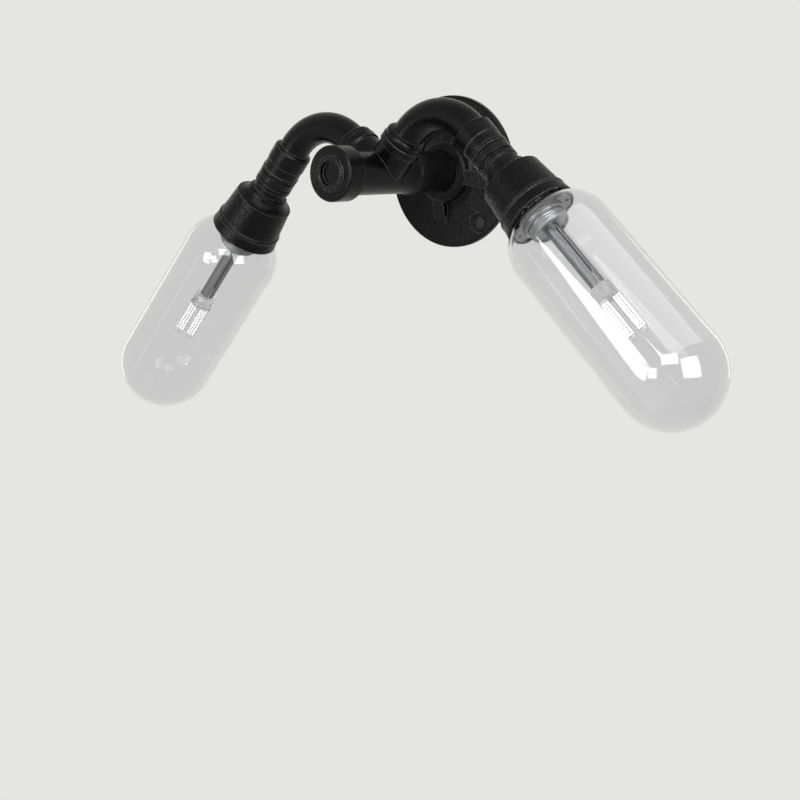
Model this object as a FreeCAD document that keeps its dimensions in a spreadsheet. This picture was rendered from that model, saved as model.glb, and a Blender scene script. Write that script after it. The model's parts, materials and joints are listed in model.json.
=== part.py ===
"""Industrial pipe wall light: two glass capsule lamps on a side-outlet tee.

Millimetres.  X runs right as seen by somebody facing the wall, Y runs into the wall and
Z up.  The origin is the centre of the wall flange's back face, on the wall plane.
The run of pipe (flange, neck, tee, cap) lies along -Y.  Two outlets of the tee point up
and out; on each an elbow turns a right angle and carries a bell, a lamp and a glass.
"""
import FreeCAD, Part
import math
import os
import Sketcher
from FreeCAD import Matrix, Placement, Rotation, Vector

# ---------------------------------------------------------------- driving dimensions
SIZES = [
    # wall flange: distances "up" are measured out from the wall
    ("flange_radius", 63.5), ("flange_edge", 5.2), ("flange_crown", 7.6),
    ("hub_radius", 26.0), ("hub_face", 20.0), ("hub_flat", 19.0),
    ("cavity_radius", 22.0), ("cavity_depth", 14.5),
    ("rib_width", 12.0), ("rib_reach", 42.0), ("rib_top", 16.5), ("rib_turn", 42.5),
    ("hole_circle", 52.5), ("hole_radius", 2.5), ("spot_radius", 8.6), ("spot_floor", 4.3),
    ("flange_turn", 57.5),
    # fixing screws of the flange
    ("screw_radius", 2.0), ("screw_head", 4.3), ("screw_sink", 2.2), ("screw_lift", 0.3),
    ("screw_reach", 13.0), ("screw_neck", 2.35),
    # pipe run
    ("pipe_radius", 17.2), ("spigot_radius", 13.3), ("spigot_bore", 10.8),
    ("spigot_length", 8.0), ("neck_end", 58.0), ("fit", 0.06),
    ("tee_end", 131.0), ("tee_bead", 18.3), ("tee_bead_length", 3.4), ("outlet_height", 90.0),
    ("outlet_rise", 43.0), ("outlet_reach", 33.6), ("outlet_body", 16.1), ("outlet_band", 7.0),
    ("outlet_band_radius", 17.3),
    # front cap
    ("cap_radius", 21.6), ("cap_length", 17.6), ("cap_chamfer", 1.8), ("cap_boss", 13.2),
    ("cap_boss_rise", 1.6), ("cap_recess", 9.6), ("cap_recess_depth", 4.0),
    ("cap_gap", 0.4),
    # half-inch nipples
    ("nipple_radius", 10.65), ("nipple_bore", 7.9), ("nipple_hold", 14.6),
    ("socket_depth", 7.2),
    # elbow: a long-radius quarter bend
    ("elbow_inlet", 8.2), ("bend_radius", 42.8), ("elbow_radius", 12.7), ("elbow_bore", 9.4),
    ("joint_gap", 0.6), ("elbow_bead", 5.6), ("elbow_bead_radius", 16.6),
    ("collar_radius", 15.9), ("collar_length", 24.3), ("collar_start", 3.7),
    ("collar_seam", 13.5), ("drop_socket", 9.5), ("arm_tilt", 2.5),
    # swivel collar and bell; "height" is measured up the lamp's axis from the bell's rim
    ("swivel_radius", 15.6), ("swivel_length", 7.0),
    ("bell_height", 56.5), ("bell_neck", 15.6), ("bell_waist", 14.6), ("shoulder_step", 2.7),
    ("bell_shoulder_height", 37.0), ("skirt_step", 0.2), ("bell_bead_height", 10.0),
    ("bead_wall", 1.0), ("rim_wall", 2.0), ("mouth_radius", 26.9), ("mouth_depth", 9.0),
    ("seat_width", 3.5), ("bell_crown", 37.9), ("nipple_end", 28.0),
    ("waist_rise", 9.6), ("brow_rise", 6.8), ("brow_step", 2.6), ("brow_round", 8.6),
    ("nut_thick", 4.5), ("nut_flats", 13.6), ("nut_land", 3.6), ("crown_round", 6.2),
    # lamp holder, bridge and stem
    ("holder_radius", 14.9), ("holder_wall", 1.9), ("holder_top", 33.0), ("holder_face", 14.1),
    ("holder_recess", 1.5), ("holder_plate", 2.0), ("shoulder_radius", 17.2),
    ("bridge_gap", 0.4), ("bridge_width", 22.0), ("bridge_thick", 1.5),
    ("bridge_place", 0.6), ("bridge_hole", 1.5), ("bridge_hole_inset", 3.2),
    ("bridge_middle", 18.4),
    ("ring_radius", 17.6), ("ring_length", 4.0),
    ("stem_radius", 5.75), ("stem_wall", 0.75), ("stem_top", 2.0), ("stem_end", 70.0),
    ("slit_width", 1.1), ("slit_start", 16.0), ("slit_middle", 58.5), ("slit_turn", 86.5),
    ("stem_nut_flats", 8.0), ("stem_nut_thick", 3.5),
    # lamp socket and capsule bulb
    ("socket_length", 10.0), ("pin_space", 4.0), ("pin_radius", 0.35), ("pin_length", 6.5),
    ("pin_hole", 0.5), ("bulb_radius", 8.7), ("bulb_gap", 0.5), ("bulb_base", 12.0),
    ("finger_radius", 3.9), ("finger_wall", 0.7), ("finger_space", 9.4), ("finger_length", 35.0),
    ("strip_width", 4.2), ("strip_thick", 1.0), ("bulb_turn", -57.0), ("bridge_turn", 32.0),
    # glass shade
    ("glass_radius", 40.0), ("glass_wall", 1.6), ("mouth_gap", 0.3), ("neck_wall", 1.4),
    ("neck_depth", 7.3), ("glass_shoulder", 26.0), ("glass_barrel", 149.7),
    ("gasket_thick", 1.5), ("gasket_width", 2.6),
    # wiring
    ("lead_radius", 2.6), ("lead_bend", 9.0), ("lead_side", 5.5), ("lead_end", 14.0),
    ("lead_gap", 0.6), ("wire_radius", 0.9), ("wire_space", 3.6),
    ("block_length", 36.0), ("block_width", 12.0), ("block_height", 9.0),
    ("clamp_radius", 2.0), ("clamp_across", 6.1), ("clamp_up", 2.7),
    ("fixing_radius", 1.5), ("fixing_head", 2.8), ("fixing_place", 15.8),
    ("earth_place", 17.6), ("earth_radius", 2.0), ("earth_head", 3.5),
    # the drawn length of construction lines
    ("axis_length", 10.0),
]

# sizes that follow the bell's mouth, each by a named step or gap
TIED = [
    ("bell_shoulder", "mouth_radius - shoulder_step"), ("bell_skirt", "mouth_radius - skirt_step"),
    ("bell_bead", "mouth_radius + bead_wall"), ("bell_rim", "mouth_radius + rim_wall"),
    ("bell_inside", "mouth_radius - seat_width"), ("glass_neck", "mouth_radius - mouth_gap"),
    ("gasket_bore", "glass_neck - gasket_width"),
    ("bridge_reach", "glass_neck - neck_wall - bridge_gap"),
    ("bridge_hole_place", "bridge_reach - bridge_hole_inset"),
]

doc = FreeCAD.newDocument("PipeWallLight")
sheet = doc.addObject("Spreadsheet::Sheet", "Sizes")
CELLS = [(name, str(number)) for name, number in SIZES]
CELLS += [(name, "=" + formula) for name, formula in TIED]
for row, (name, content) in enumerate(CELLS, start=1):
    sheet.set("A%d" % row, name)
    sheet.setAlias("B%d" % row, name)
for row, (name, content) in enumerate(CELLS, start=1):
    sheet.set("B%d" % row, content)
doc.recompute()


class Size:
    """A number together with the spreadsheet expression that gives it."""

    def __init__(self, value, text):
        self.value = value
        self.text = text

    def __add__(self, other):
        other = as_size(other)
        return Size(self.value + other.value, "(%s + %s)" % (self.text, other.text))

    def __sub__(self, other):
        other = as_size(other)
        return Size(self.value - other.value, "(%s - %s)" % (self.text, other.text))

    def __rsub__(self, other):
        return as_size(other) - self

    def __mul__(self, other):
        other = as_size(other)
        return Size(self.value * other.value, "(%s * %s)" % (self.text, other.text))

    def __truediv__(self, other):
        other = as_size(other)
        return Size(self.value / other.value, "(%s / %s)" % (self.text, other.text))

    def __neg__(self):
        return Size(-self.value, "(-1 * %s)" % self.text)

    __radd__ = __add__
    __rmul__ = __mul__


def as_size(number):
    if isinstance(number, Size):
        return number
    return Size(float(number), repr(float(number)))


class Sheet:
    """Each size of the spreadsheet by its name."""


S = Sheet()
for name, content in CELLS:
    setattr(S, name, Size(float(sheet.get(name)), "Sizes.%s" % name))


# ---------------------------------------------------------------- sketch and feature helpers
def new_body(label):
    body = doc.addObject("PartDesign::Body", "Body_" + label)
    body.Label = label
    return body


def plane(body, role):
    for feature in body.Origin.OriginFeatures:
        if feature.Role == role:
            return feature
    raise RuntimeError("no plane " + role)


def new_sketch(body, name, role="XZ_Plane", lift=0.0, turn=0.0, yaw=0.0):
    """A sketch on one of the body's own planes.

    lift moves it along the plane's normal, turn turns it in its plane and yaw about its
    upright axis, in degrees.
    """
    sketch = body.newObject("Sketcher::SketchObject", name)
    sketch.AttachmentSupport = [(plane(body, role), "")]
    sketch.MapMode = "FlatFace"
    lift, turn, yaw = as_size(lift), as_size(turn), as_size(yaw)
    spin = Rotation(Vector(0, 0, 1), turn.value)
    if yaw.value:
        spin = Rotation(Vector(0, 1, 0), yaw.value)
    sketch.AttachmentOffset = Placement(Vector(0, 0, lift.value), spin)
    if "Sizes" in lift.text:
        sketch.setExpression("AttachmentOffset.Base.z", lift.text)
    angle = yaw if yaw.value else turn
    if "Sizes" in angle.text:
        sketch.setExpression("AttachmentOffset.Rotation.Angle", angle.text)
    return sketch


def bind(sketch, constraint, size):
    """Add a dimension and tie it to the spreadsheet."""
    index = sketch.addConstraint(constraint)
    if "Sizes" in size.text:
        sketch.setExpression("Constraints[%d]" % index, size.text)


def pin_point(sketch, geo, end, x, y):
    """Hold one end of a curve at (x, y), dimensioned from the sketch's origin."""
    for kind, size, axis in (("DistanceX", x, -2), ("DistanceY", y, -1)):
        if abs(size.value) < 1e-9:
            sketch.addConstraint(Sketcher.Constraint("PointOnObject", geo, end, axis))
        elif size.value > 0:
            bind(sketch, Sketcher.Constraint(kind, -1, 1, geo, end, size.value), size)
        else:
            bind(sketch, Sketcher.Constraint(kind, geo, end, -1, 1, -size.value), -size)


def arc_between(first, last, radius, left):
    """The arc from first to last; left says on which side of the chord its centre lies."""
    chord = last - first
    half = chord.Length / 2
    reach = math.sqrt(max(radius * radius - half * half, 0.0))
    side = Vector(-chord.y, chord.x, 0).normalize() * (reach if left else -reach)
    centre = (first + last) * 0.5 + side
    start = math.atan2(first.y - centre.y, first.x - centre.x)
    stop = math.atan2(last.y - centre.y, last.x - centre.x)
    if not left:
        start, stop = stop, start
    circle = Part.Circle(centre, Vector(0, 0, 1), radius)
    return Part.ArcOfCircle(circle, start, stop if stop > start else stop + 2 * math.pi)


def outline(sketch, points):
    """A closed outline through points.

    Each point is (x, y), or (x, y, radius) where an arc of that radius leads to it from
    the point before: a positive radius has its centre on the left of the way.
    """
    spots = [(as_size(p[0]), as_size(p[1])) for p in points]
    vectors = [Vector(x.value, y.value, 0) for x, y in spots]
    ends = []
    for i in range(len(points)):
        nxt = (i + 1) % len(points)
        bulge = as_size(points[nxt][2]) if len(points[nxt]) > 2 else None
        if bulge is None:
            geo = sketch.addGeometry(Part.LineSegment(vectors[i], vectors[nxt]), False)
            ends.append((geo, 1, 2))
            continue
        left = bulge.value > 0
        radius = bulge if left else -bulge
        arc = arc_between(vectors[i], vectors[nxt], radius.value, left)
        geo = sketch.addGeometry(arc, False)
        ends.append((geo, 1, 2) if left else (geo, 2, 1))
        bind(sketch, Sketcher.Constraint("Radius", geo, radius.value), radius)
    for i in range(len(points)):
        geo, first, last = ends[i]
        nxt, start, _ = ends[(i + 1) % len(points)]
        sketch.addConstraint(Sketcher.Constraint("Coincident", geo, last, nxt, start))
        pin_point(sketch, geo, first, *spots[i])


def ring(sketch, radius, x=0.0, y=0.0):
    """A circle about (x, y)."""
    radius, x, y = as_size(radius), as_size(x), as_size(y)
    circle = Part.Circle(Vector(x.value, y.value, 0), Vector(0, 0, 1), radius.value)
    geo = sketch.addGeometry(circle, False)
    pin_point(sketch, geo, 3, x, y)
    bind(sketch, Sketcher.Constraint("Radius", geo, radius.value), radius)


def upright_axis(sketch, x):
    """A construction line parallel to the sketch's upright axis, at x."""
    x = as_size(x)
    long = S.axis_length
    low, high = Vector(x.value, 0, 0), Vector(x.value, long.value, 0)
    geo = sketch.addGeometry(Part.LineSegment(low, high), True)
    pin_point(sketch, geo, 1, x, as_size(0))
    pin_point(sketch, geo, 2, x, long)


def level_axis(sketch, y):
    """A construction line parallel to the sketch's level axis, at y."""
    y = as_size(y)
    long = S.axis_length
    left, right = Vector(0, y.value, 0), Vector(long.value, y.value, 0)
    geo = sketch.addGeometry(Part.LineSegment(left, right), True)
    pin_point(sketch, geo, 1, as_size(0), y)
    pin_point(sketch, geo, 2, long, y)


def volume(body):
    doc.recompute()
    return body.Shape.Volume


def spin(body, sketch, axis="V_Axis", angle=360.0, cut=False, back=False):
    """Turn a sketch about an axis, to add to the body or cut from it."""
    before = volume(body) if cut else 0.0
    kind = "PartDesign::Groove" if cut else "PartDesign::Revolution"
    feature = body.newObject(kind, ("Cut" if cut else "Turn") + sketch.Name)
    feature.Profile = sketch
    feature.ReferenceAxis = (sketch, [axis])
    feature.Angle = angle
    feature.Reversed = back
    sketch.Visibility = False
    body.Tip = feature
    if cut and not volume(body) < before - 1e-3:
        raise RuntimeError("%s cuts nothing" % feature.Name)
    return feature


def pad(body, sketch, length, both=False, back=False, cut=False, through=False):
    """Extrude a sketch, to add to the body or cut from it."""
    before = volume(body) if cut else 0.0
    kind = "PartDesign::Pocket" if cut else "PartDesign::Pad"
    feature = body.newObject(kind, ("Cut" if cut else "Pad") + sketch.Name)
    feature.Profile = sketch
    if through:
        feature.Type = "ThroughAll"
    else:
        length = as_size(length)
        feature.Length = length.value
        if "Sizes" in length.text:
            feature.setExpression("Length", length.text)
    feature.Midplane = both
    feature.Reversed = back
    sketch.Visibility = False
    body.Tip = feature
    if cut and not volume(body) < before - 1e-3:
        raise RuntimeError("%s cuts nothing" % feature.Name)
    return feature


def repeat(body, features, count):
    """Repeat features evenly round the body's own upright axis."""
    doc.recompute()
    pattern = body.newObject("PartDesign::PolarPattern", "Round" + features[0].Name)
    pattern.Originals = features
    pattern.Axis = (plane(body, "Z_Axis"), [""])
    pattern.Angle = 360
    pattern.Occurrences = count
    body.Tip = pattern
    return pattern


def turned(label, points, spot):
    """A body turned about its upright axis from one outline of (radius, height) points."""
    body = new_body(label)
    sketch = new_sketch(body, "Outline_" + label)
    outline(sketch, points)
    spin(body, sketch)
    body.Placement = spot
    return body


def hexagon(label, flats, bore, low, thick, spot):
    """A hexagon nut: flats is half its width over the flats."""
    body = new_body(label)
    sketch = new_sketch(body, "Hex_" + label, "XY_Plane", lift=low)
    corners = [Vector(math.cos(math.radians(60 * k)), math.sin(math.radians(60 * k)), 0)
               for k in range(6)]
    reach = flats / math.cos(math.radians(30))
    outline(sketch, [(reach * c.x, reach * c.y) for c in corners])
    ring(sketch, bore)
    pad(body, sketch, thick)
    body.Placement = spot
    return body


def bent_bar(body, tag, radius, leg, drop, cut=False, bend=None):
    """A round bar with a quarter bend, added to or cut from the body.

    The bend starts at the body's origin.  The first leg runs along +X from there, and the
    second runs down from the bend's end, which lies at (-bend, -bend) in the XZ plane.
    """
    bend = S.bend_radius if bend is None else bend
    arch = new_sketch(body, "Bend_" + tag, "YZ_Plane")
    ring(arch, radius)
    level_axis(arch, -bend)
    spin(body, arch, "Axis0", 90.0, cut=cut, back=True)
    run = new_sketch(body, "Leg_" + tag)
    outline(run, [(0, 0), (leg, 0), (leg, radius), (0, radius)])
    spin(body, run, "H_Axis", cut=cut)
    fall = new_sketch(body, "Drop_" + tag)
    outline(fall, [(-bend, -bend), (radius - bend, -bend), (radius - bend, -bend - drop),
                   (-bend, -bend - drop)])
    upright_axis(fall, -bend)
    spin(body, fall, "Axis0", cut=cut)


# ---------------------------------------------------------------- frames
def frame(origin, x_axis, z_axis):
    """The placement with these axes; the third follows from the two."""
    x_axis, z_axis = Vector(x_axis), Vector(z_axis)
    y_axis = z_axis.cross(x_axis)
    return Placement(Matrix(x_axis.x, y_axis.x, z_axis.x, origin.x,
                            x_axis.y, y_axis.y, z_axis.y, origin.y,
                            x_axis.z, y_axis.z, z_axis.z, origin.z,
                            0, 0, 0, 1))


OUT = frame(Vector(0, 0, 0), Vector(1, 0, 0), Vector(0, -1, 0))
RISE = math.radians(S.outlet_rise.value)
TILT = math.radians(S.arm_tilt.value)
CENTRE = Vector(0, -S.outlet_height.value, 0)
SIDES = {"right": 1, "left": -1}


def outlet_axis(side):
    """The way an outlet of the tee points: up and out, square to the run."""
    return Vector(side * math.cos(RISE), 0, math.sin(RISE))


def lamp_axis(side):
    """The way a lamp points: square to its outlet, down and out, and a little forward."""
    level = Vector(side * math.sin(RISE), 0, -math.cos(RISE))
    return level * math.cos(TILT) + Vector(0, -1, 0) * math.sin(TILT)


def elbow_start():
    """From the tee's centre to the start of the elbow's bend."""
    return S.outlet_reach + S.joint_gap + S.elbow_inlet


def elbow_frame(side):
    """Its origin is the bend's start, +X points back to the tee and -Z down the lamp."""
    start = CENTRE + outlet_axis(side) * elbow_start().value
    return frame(start, outlet_axis(side) * -1, lamp_axis(side) * -1)


def outlet_frame(side):
    """Its origin is the tee's centre and +Z points along the outlet."""
    return frame(CENTRE, lamp_axis(side), outlet_axis(side))


def rim_distance():
    """From the elbow's corner to the bell's rim, along the lamp's axis."""
    collar = S.bend_radius + S.collar_start + S.collar_length
    return collar + S.joint_gap + S.swivel_length + S.joint_gap + S.bell_height


def lamp_frame(side):
    """Its origin is the middle of the bell's rim and +Z points up the lamp's axis."""
    corner = CENTRE + outlet_axis(side) * (elbow_start() + S.bend_radius).value
    rim = corner + lamp_axis(side) * rim_distance().value
    return frame(rim, outlet_axis(side) * -1, lamp_axis(side) * -1)


# ---------------------------------------------------------------- the run of pipe
def wall_flange():
    """Cast flange: crowned plate, boss with four ribs, two spot-faced screw holes."""
    body = new_body("wall_flange")
    section = new_sketch(body, "FlangeSection")
    bore = S.spigot_radius + S.fit
    outline(section, [
        (S.cavity_radius, 0), (S.flange_radius, 0), (S.flange_radius, S.flange_edge - 2.0),
        (S.flange_radius - 2.0, S.flange_edge, 2.0), (S.hub_radius + 6.0, S.flange_crown),
        (S.hub_radius, S.flange_crown + 4.5, -8.0),
        (S.hub_radius - 0.8, S.hub_face - 4.0), (S.hub_flat + 1.5, S.hub_face - 0.6, 5.5),
        (S.hub_flat, S.hub_face), (bore, S.hub_face), (bore, S.cavity_depth),
        (S.cavity_radius, S.cavity_depth)])
    spin(body, section)
    rib = new_sketch(body, "Rib", yaw=S.rib_turn)
    outline(rib, [
        (S.hub_radius - 3.0, S.flange_edge), (S.rib_reach, S.flange_edge),
        (S.rib_reach, S.flange_crown + 0.6), (S.hub_radius - 1.5, S.rib_top),
        (S.hub_radius - 3.0, S.rib_top)])
    repeat(body, [pad(body, rib, S.rib_width, both=True)], 4)
    hole = new_sketch(body, "ScrewHole")
    middle, sink = S.hole_circle, S.spot_floor - S.screw_sink
    head = S.screw_head + 0.3
    outline(hole, [
        (middle, 0), (middle + S.hole_radius, 0), (middle + S.hole_radius, sink),
        (middle + head, S.spot_floor), (middle + S.spot_radius, S.spot_floor),
        (middle + S.spot_radius + 0.5, S.flange_crown + 2.0), (middle, S.flange_crown + 2.0)])
    upright_axis(hole, middle)
    repeat(body, [spin(body, hole, "Axis0", cut=True)], 2)
    for tag, role, spots, depth, radius in (
            ("Block", "XY_Plane", [(S.fixing_place, 0.0), (-S.fixing_place, 0.0)], 4.2,
             S.fixing_radius + S.fit),
            ("Earth", "XY_Plane", [(0.0, S.earth_place)], 3.6, S.earth_radius + S.fit)):
        tap = new_sketch(body, tag + "Tap", role, lift=S.cavity_depth, turn=S.flange_turn)
        for x, y in spots:
            ring(tap, radius, x, y)
        pad(body, tap, depth, cut=True, back=True)
    body.Placement = OUT.multiply(Placement(Vector(0, 0, 0),
                                            Rotation(Vector(0, 0, 1), -S.flange_turn.value)))
    return body


def flange_screws():
    """Two countersunk screws; their shanks stand out behind the wall plane."""
    body = new_body("flange_screws")
    body.AllowCompound = True
    sketch = new_sketch(body, "ScrewSection")
    middle, top = S.hole_circle, S.spot_floor
    outline(sketch, [
        (middle, -S.screw_reach), (middle + S.screw_radius - 0.8, -S.screw_reach),
        (middle + S.screw_radius, 0.8 - S.screw_reach), (middle + S.screw_radius, 0),
        (middle + S.screw_neck, top - S.screw_sink + S.screw_lift),
        (middle + S.screw_head, top + S.screw_lift),
        (middle + S.screw_head - 0.9, top + S.screw_lift + 0.8),
        (middle, top + S.screw_lift + 1.2)])
    upright_axis(sketch, middle)
    repeat(body, [spin(body, sketch, "Axis0")], 2)
    body.Placement = OUT.multiply(Placement(Vector(0, 0, 0),
                                            Rotation(Vector(0, 0, 1), -S.flange_turn.value)))
    return body


def wall_neck():
    """The pipe between flange and tee, with a turned-down spigot at each end."""
    low, high = S.cavity_depth, S.neck_end + S.spigot_length
    return turned("wall_neck", [
        (S.spigot_bore, low), (S.spigot_radius, low), (S.spigot_radius, S.hub_face),
        (S.pipe_radius, S.hub_face), (S.pipe_radius, S.neck_end),
        (S.spigot_radius, S.neck_end), (S.spigot_radius, high), (S.spigot_bore, high)], OUT)


def side_outlet_tee():
    """Cast tee: a run with a bead at its back end and two banded outlets."""
    body = new_body("side_outlet_tee")
    back = S.neck_end - S.outlet_height
    front = S.tee_end - S.outlet_height
    bead = back + S.tee_bead_length
    run = new_sketch(body, "Run")
    outline(run, [
        (0, back), (S.tee_bead - 0.6, back), (S.tee_bead, back + 0.6), (S.tee_bead, bead - 0.6),
        (S.pipe_radius, bead + 0.8), (S.pipe_radius, front - 0.6), (S.pipe_radius - 0.6, front),
        (0, front)])
    spin(body, run)
    start = S.outlet_reach - S.outlet_band
    for tag, angle in (("Right", S.outlet_rise), ("Left", 180.0 - S.outlet_rise)):
        arm = new_sketch(body, "Outlet" + tag, "XY_Plane", turn=angle)
        outline(arm, [
            (0, 0), (S.outlet_reach, 0), (S.outlet_reach, S.outlet_band_radius - 0.7),
            (S.outlet_reach - 0.7, S.outlet_band_radius), (start + 0.9, S.outlet_band_radius),
            (start - 0.6, S.outlet_body), (0, S.outlet_body)])
        spin(body, arm, "H_Axis")
    bore = new_sketch(body, "RunBore")
    inside = S.spigot_radius + S.fit
    outline(bore, [(0, back), (inside, back), (inside, front), (0, front)])
    spin(body, bore, cut=True)
    inside = S.nipple_radius + S.fit
    for tag, angle in (("Right", S.outlet_rise), ("Left", 180.0 - S.outlet_rise)):
        hole = new_sketch(body, "OutletBore" + tag, "XY_Plane", turn=angle)
        outline(hole, [(0, 0), (S.outlet_reach, 0), (S.outlet_reach, inside), (0, inside)])
        spin(body, hole, "H_Axis", cut=True)
    body.Placement = frame(CENTRE, Vector(1, 0, 0), Vector(0, -1, 0))
    return body


def front_cap():
    """Round cap screwed into the tee's front: chamfered, with a boss and a sunk middle."""
    low = S.tee_end + S.cap_gap
    top = low + S.cap_length
    cut = S.cap_chamfer
    face = top + S.cap_boss_rise
    tail = S.tee_end - S.spigot_length
    return turned("front_cap", [
        (0, low), (S.spigot_bore, low), (S.spigot_bore, tail), (S.spigot_radius, tail),
        (S.spigot_radius, low), (S.cap_radius - 1.0, low), (S.cap_radius, low + 1.0),
        (S.cap_radius, top - cut), (S.cap_radius - cut, top, cut),
        (S.cap_boss + 0.8, top - 0.6), (S.cap_boss, top), (S.cap_boss - 0.4, face - 0.4),
        (S.cap_boss - 1.0, face), (S.cap_recess + 0.8, face), (S.cap_recess, face - 0.8),
        (S.cap_recess - 0.4, face - S.cap_recess_depth), (0, face - S.cap_recess_depth)], OUT)


def terminal_block():
    """Moulded block across the flange's cavity, where the supply meets the two leads."""
    body = new_body("terminal_block")
    top = S.cavity_depth
    base = new_sketch(body, "Block", "XY_Plane", lift=top - S.block_height)
    half, wide = S.block_length / 2.0, S.block_width / 2.0
    outline(base, [(-half, -wide + 1.5), (-half + 1.5, -wide), (half - 1.5, -wide),
                   (half, -wide + 1.5), (half, wide - 1.5), (half - 1.5, wide),
                   (-half + 1.5, wide), (-half, wide - 1.5)])
    pad(body, base, S.block_height)
    wells = new_sketch(body, "Wells", "XY_Plane", lift=top - S.block_height)
    for x in (-1.0, 1.0):
        for y in (-1.0, 1.0):
            ring(wells, S.clamp_radius + 0.25, S.clamp_across * x, S.clamp_up * y)
    pad(body, wells, 3.0, cut=True, back=True)
    holes = new_sketch(body, "Fixings", "XY_Plane", lift=top - S.block_height)
    for sign in (-1.0, 1.0):
        ring(holes, S.fixing_radius + 0.15, S.fixing_place * sign, 0.0)
    pad(body, holes, S.block_height, cut=True, back=True)
    body.Placement = OUT
    return body


def terminal_screws():
    """The four clamping screws, sunk in the block's wells."""
    body = new_body("terminal_screws")
    body.AllowCompound = True
    sketch = new_sketch(body, "Clamps", "XY_Plane", lift=S.cavity_depth - S.block_height + 0.6)
    for x in (-1.0, 1.0):
        for y in (-1.0, 1.0):
            ring(sketch, S.clamp_radius, S.clamp_across * x, S.clamp_up * y)
    pad(body, sketch, 2.4)
    body.Placement = OUT
    return body


def block_screws():
    """Two screws that hold the block in the flange."""
    body = new_body("block_screws")
    body.AllowCompound = True
    low = S.cavity_depth - S.block_height
    sketch = new_sketch(body, "BlockScrew")
    spot = S.fixing_place
    outline(sketch, [(spot, low - 1.6), (spot + S.fixing_head, low - 1.6),
                     (spot + S.fixing_head, low), (spot + S.fixing_radius, low),
                     (spot + S.fixing_radius, S.cavity_depth + 3.8), (spot, S.cavity_depth + 3.8)])
    upright_axis(sketch, spot)
    repeat(body, [spin(body, sketch, "Axis0")], 2)
    body.Placement = OUT
    return body


def earth_screw():
    """The earthing screw in the flange's cavity."""
    body = turned("earth_screw", [
        (0, S.cavity_depth - 2.4), (S.earth_head, S.cavity_depth - 2.4),
        (S.earth_head, S.cavity_depth), (S.earth_radius, S.cavity_depth),
        (S.earth_radius, S.cavity_depth + 3.2), (0, S.cavity_depth + 3.2)], OUT)
    body.Placement = OUT.multiply(Placement(Vector(0, S.earth_place.value, 0), Rotation()))
    return body


def supply_lead(side_name, side):
    """Two-core lead from the block, through the neck and round into an outlet."""
    body = new_body("supply_lead_" + side_name)
    first = S.outlet_height - S.lead_bend - S.cavity_depth
    last = S.outlet_reach + S.joint_gap + S.socket_depth - S.lead_side - S.lead_bend
    bent_bar(body, "Supply_" + side_name, S.lead_radius, first, last, bend=S.lead_bend)
    start = CENTRE + outlet_axis(side) * S.lead_side.value
    start += Vector(0, S.lead_bend.value, 0)
    body.Placement = frame(start, Vector(0, 1, 0), outlet_axis(side) * -1)
    return body


def outlet_nipple(side_name, side):
    """Short nipple that joins the tee to an elbow and lets the elbow turn."""
    start = S.outlet_reach - S.nipple_hold
    end = S.outlet_reach + S.joint_gap + S.socket_depth - 0.3
    return turned("outlet_nipple_" + side_name, [
        (S.nipple_bore, start), (S.nipple_radius, start),
        (S.nipple_radius, end), (S.nipple_bore, end)], outlet_frame(side))


# ---------------------------------------------------------------- one arm
def elbow(side_name, side):
    """Cast elbow: rounded bead, long quarter bend, banded collar with a seam."""
    body = new_body("elbow_" + side_name)
    mouth = S.elbow_inlet
    bent_bar(body, "Elbow_" + side_name, S.elbow_radius, mouth - 0.5, S.collar_start + 1.0)
    bead = mouth - S.elbow_bead
    rim = S.elbow_bead_radius
    inlet = new_sketch(body, "Bead_" + side_name)
    outline(inlet, [
        (bead - 0.5, 0), (mouth, 0), (mouth, rim - 0.8), (mouth - 0.8, rim, 0.8),
        (bead + 2.2, rim), (bead - 0.5, S.elbow_radius, 4.2)])
    spin(body, inlet, "H_Axis")
    axis = -S.bend_radius
    top = axis - S.collar_start
    foot = top - S.collar_length
    seam = top - S.collar_seam
    wide = S.collar_radius
    collar = new_sketch(body, "Collar_" + side_name)
    outline(collar, [
        (axis, top + 2.0), (axis + S.elbow_radius, top + 2.0), (axis + wide - 0.9, top, -3.2),
        (axis + wide, top - 0.9, -0.9), (axis + wide, seam + 0.5), (axis + wide - 0.5, seam),
        (axis + wide - 0.5, foot + 3.4), (axis + wide, foot + 2.9), (axis + wide, foot + 0.7),
        (axis + wide - 0.7, foot), (axis, foot)])
    upright_axis(collar, axis)
    spin(body, collar, "Axis0")
    bent_bar(body, "Bore_" + side_name, S.elbow_bore, mouth, S.collar_start + S.collar_length,
             cut=True)
    fit = S.nipple_radius + S.fit
    first = new_sketch(body, "InletSocket_" + side_name)
    outline(first, [(mouth - S.socket_depth, 0), (mouth, 0), (mouth, fit),
                    (mouth - S.socket_depth, fit)])
    spin(body, first, "H_Axis", cut=True)
    last = new_sketch(body, "DropSocket_" + side_name)
    outline(last, [(axis, foot), (axis + fit, foot), (axis + fit, foot + S.drop_socket),
                   (axis, foot + S.drop_socket)])
    upright_axis(last, axis)
    spin(body, last, "Axis0", cut=True)
    body.Placement = elbow_frame(side)
    return body


def arm_lead(side_name, side):
    """Two-core lead through the elbow and the drop nipple into the lamp holder."""
    body = new_body("arm_lead_" + side_name)
    first = S.elbow_inlet - S.socket_depth - S.lead_gap
    drop = rim_distance() - S.bend_radius - S.lead_end
    bent_bar(body, "Lead_" + side_name, S.lead_radius, first, drop)
    body.Placement = elbow_frame(side)
    return body


# ---------------------------------------------------------------- one lamp
def swivel_foot():
    """Height of the swivel collar's lower face above the rim."""
    return S.bell_height + S.joint_gap


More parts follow.
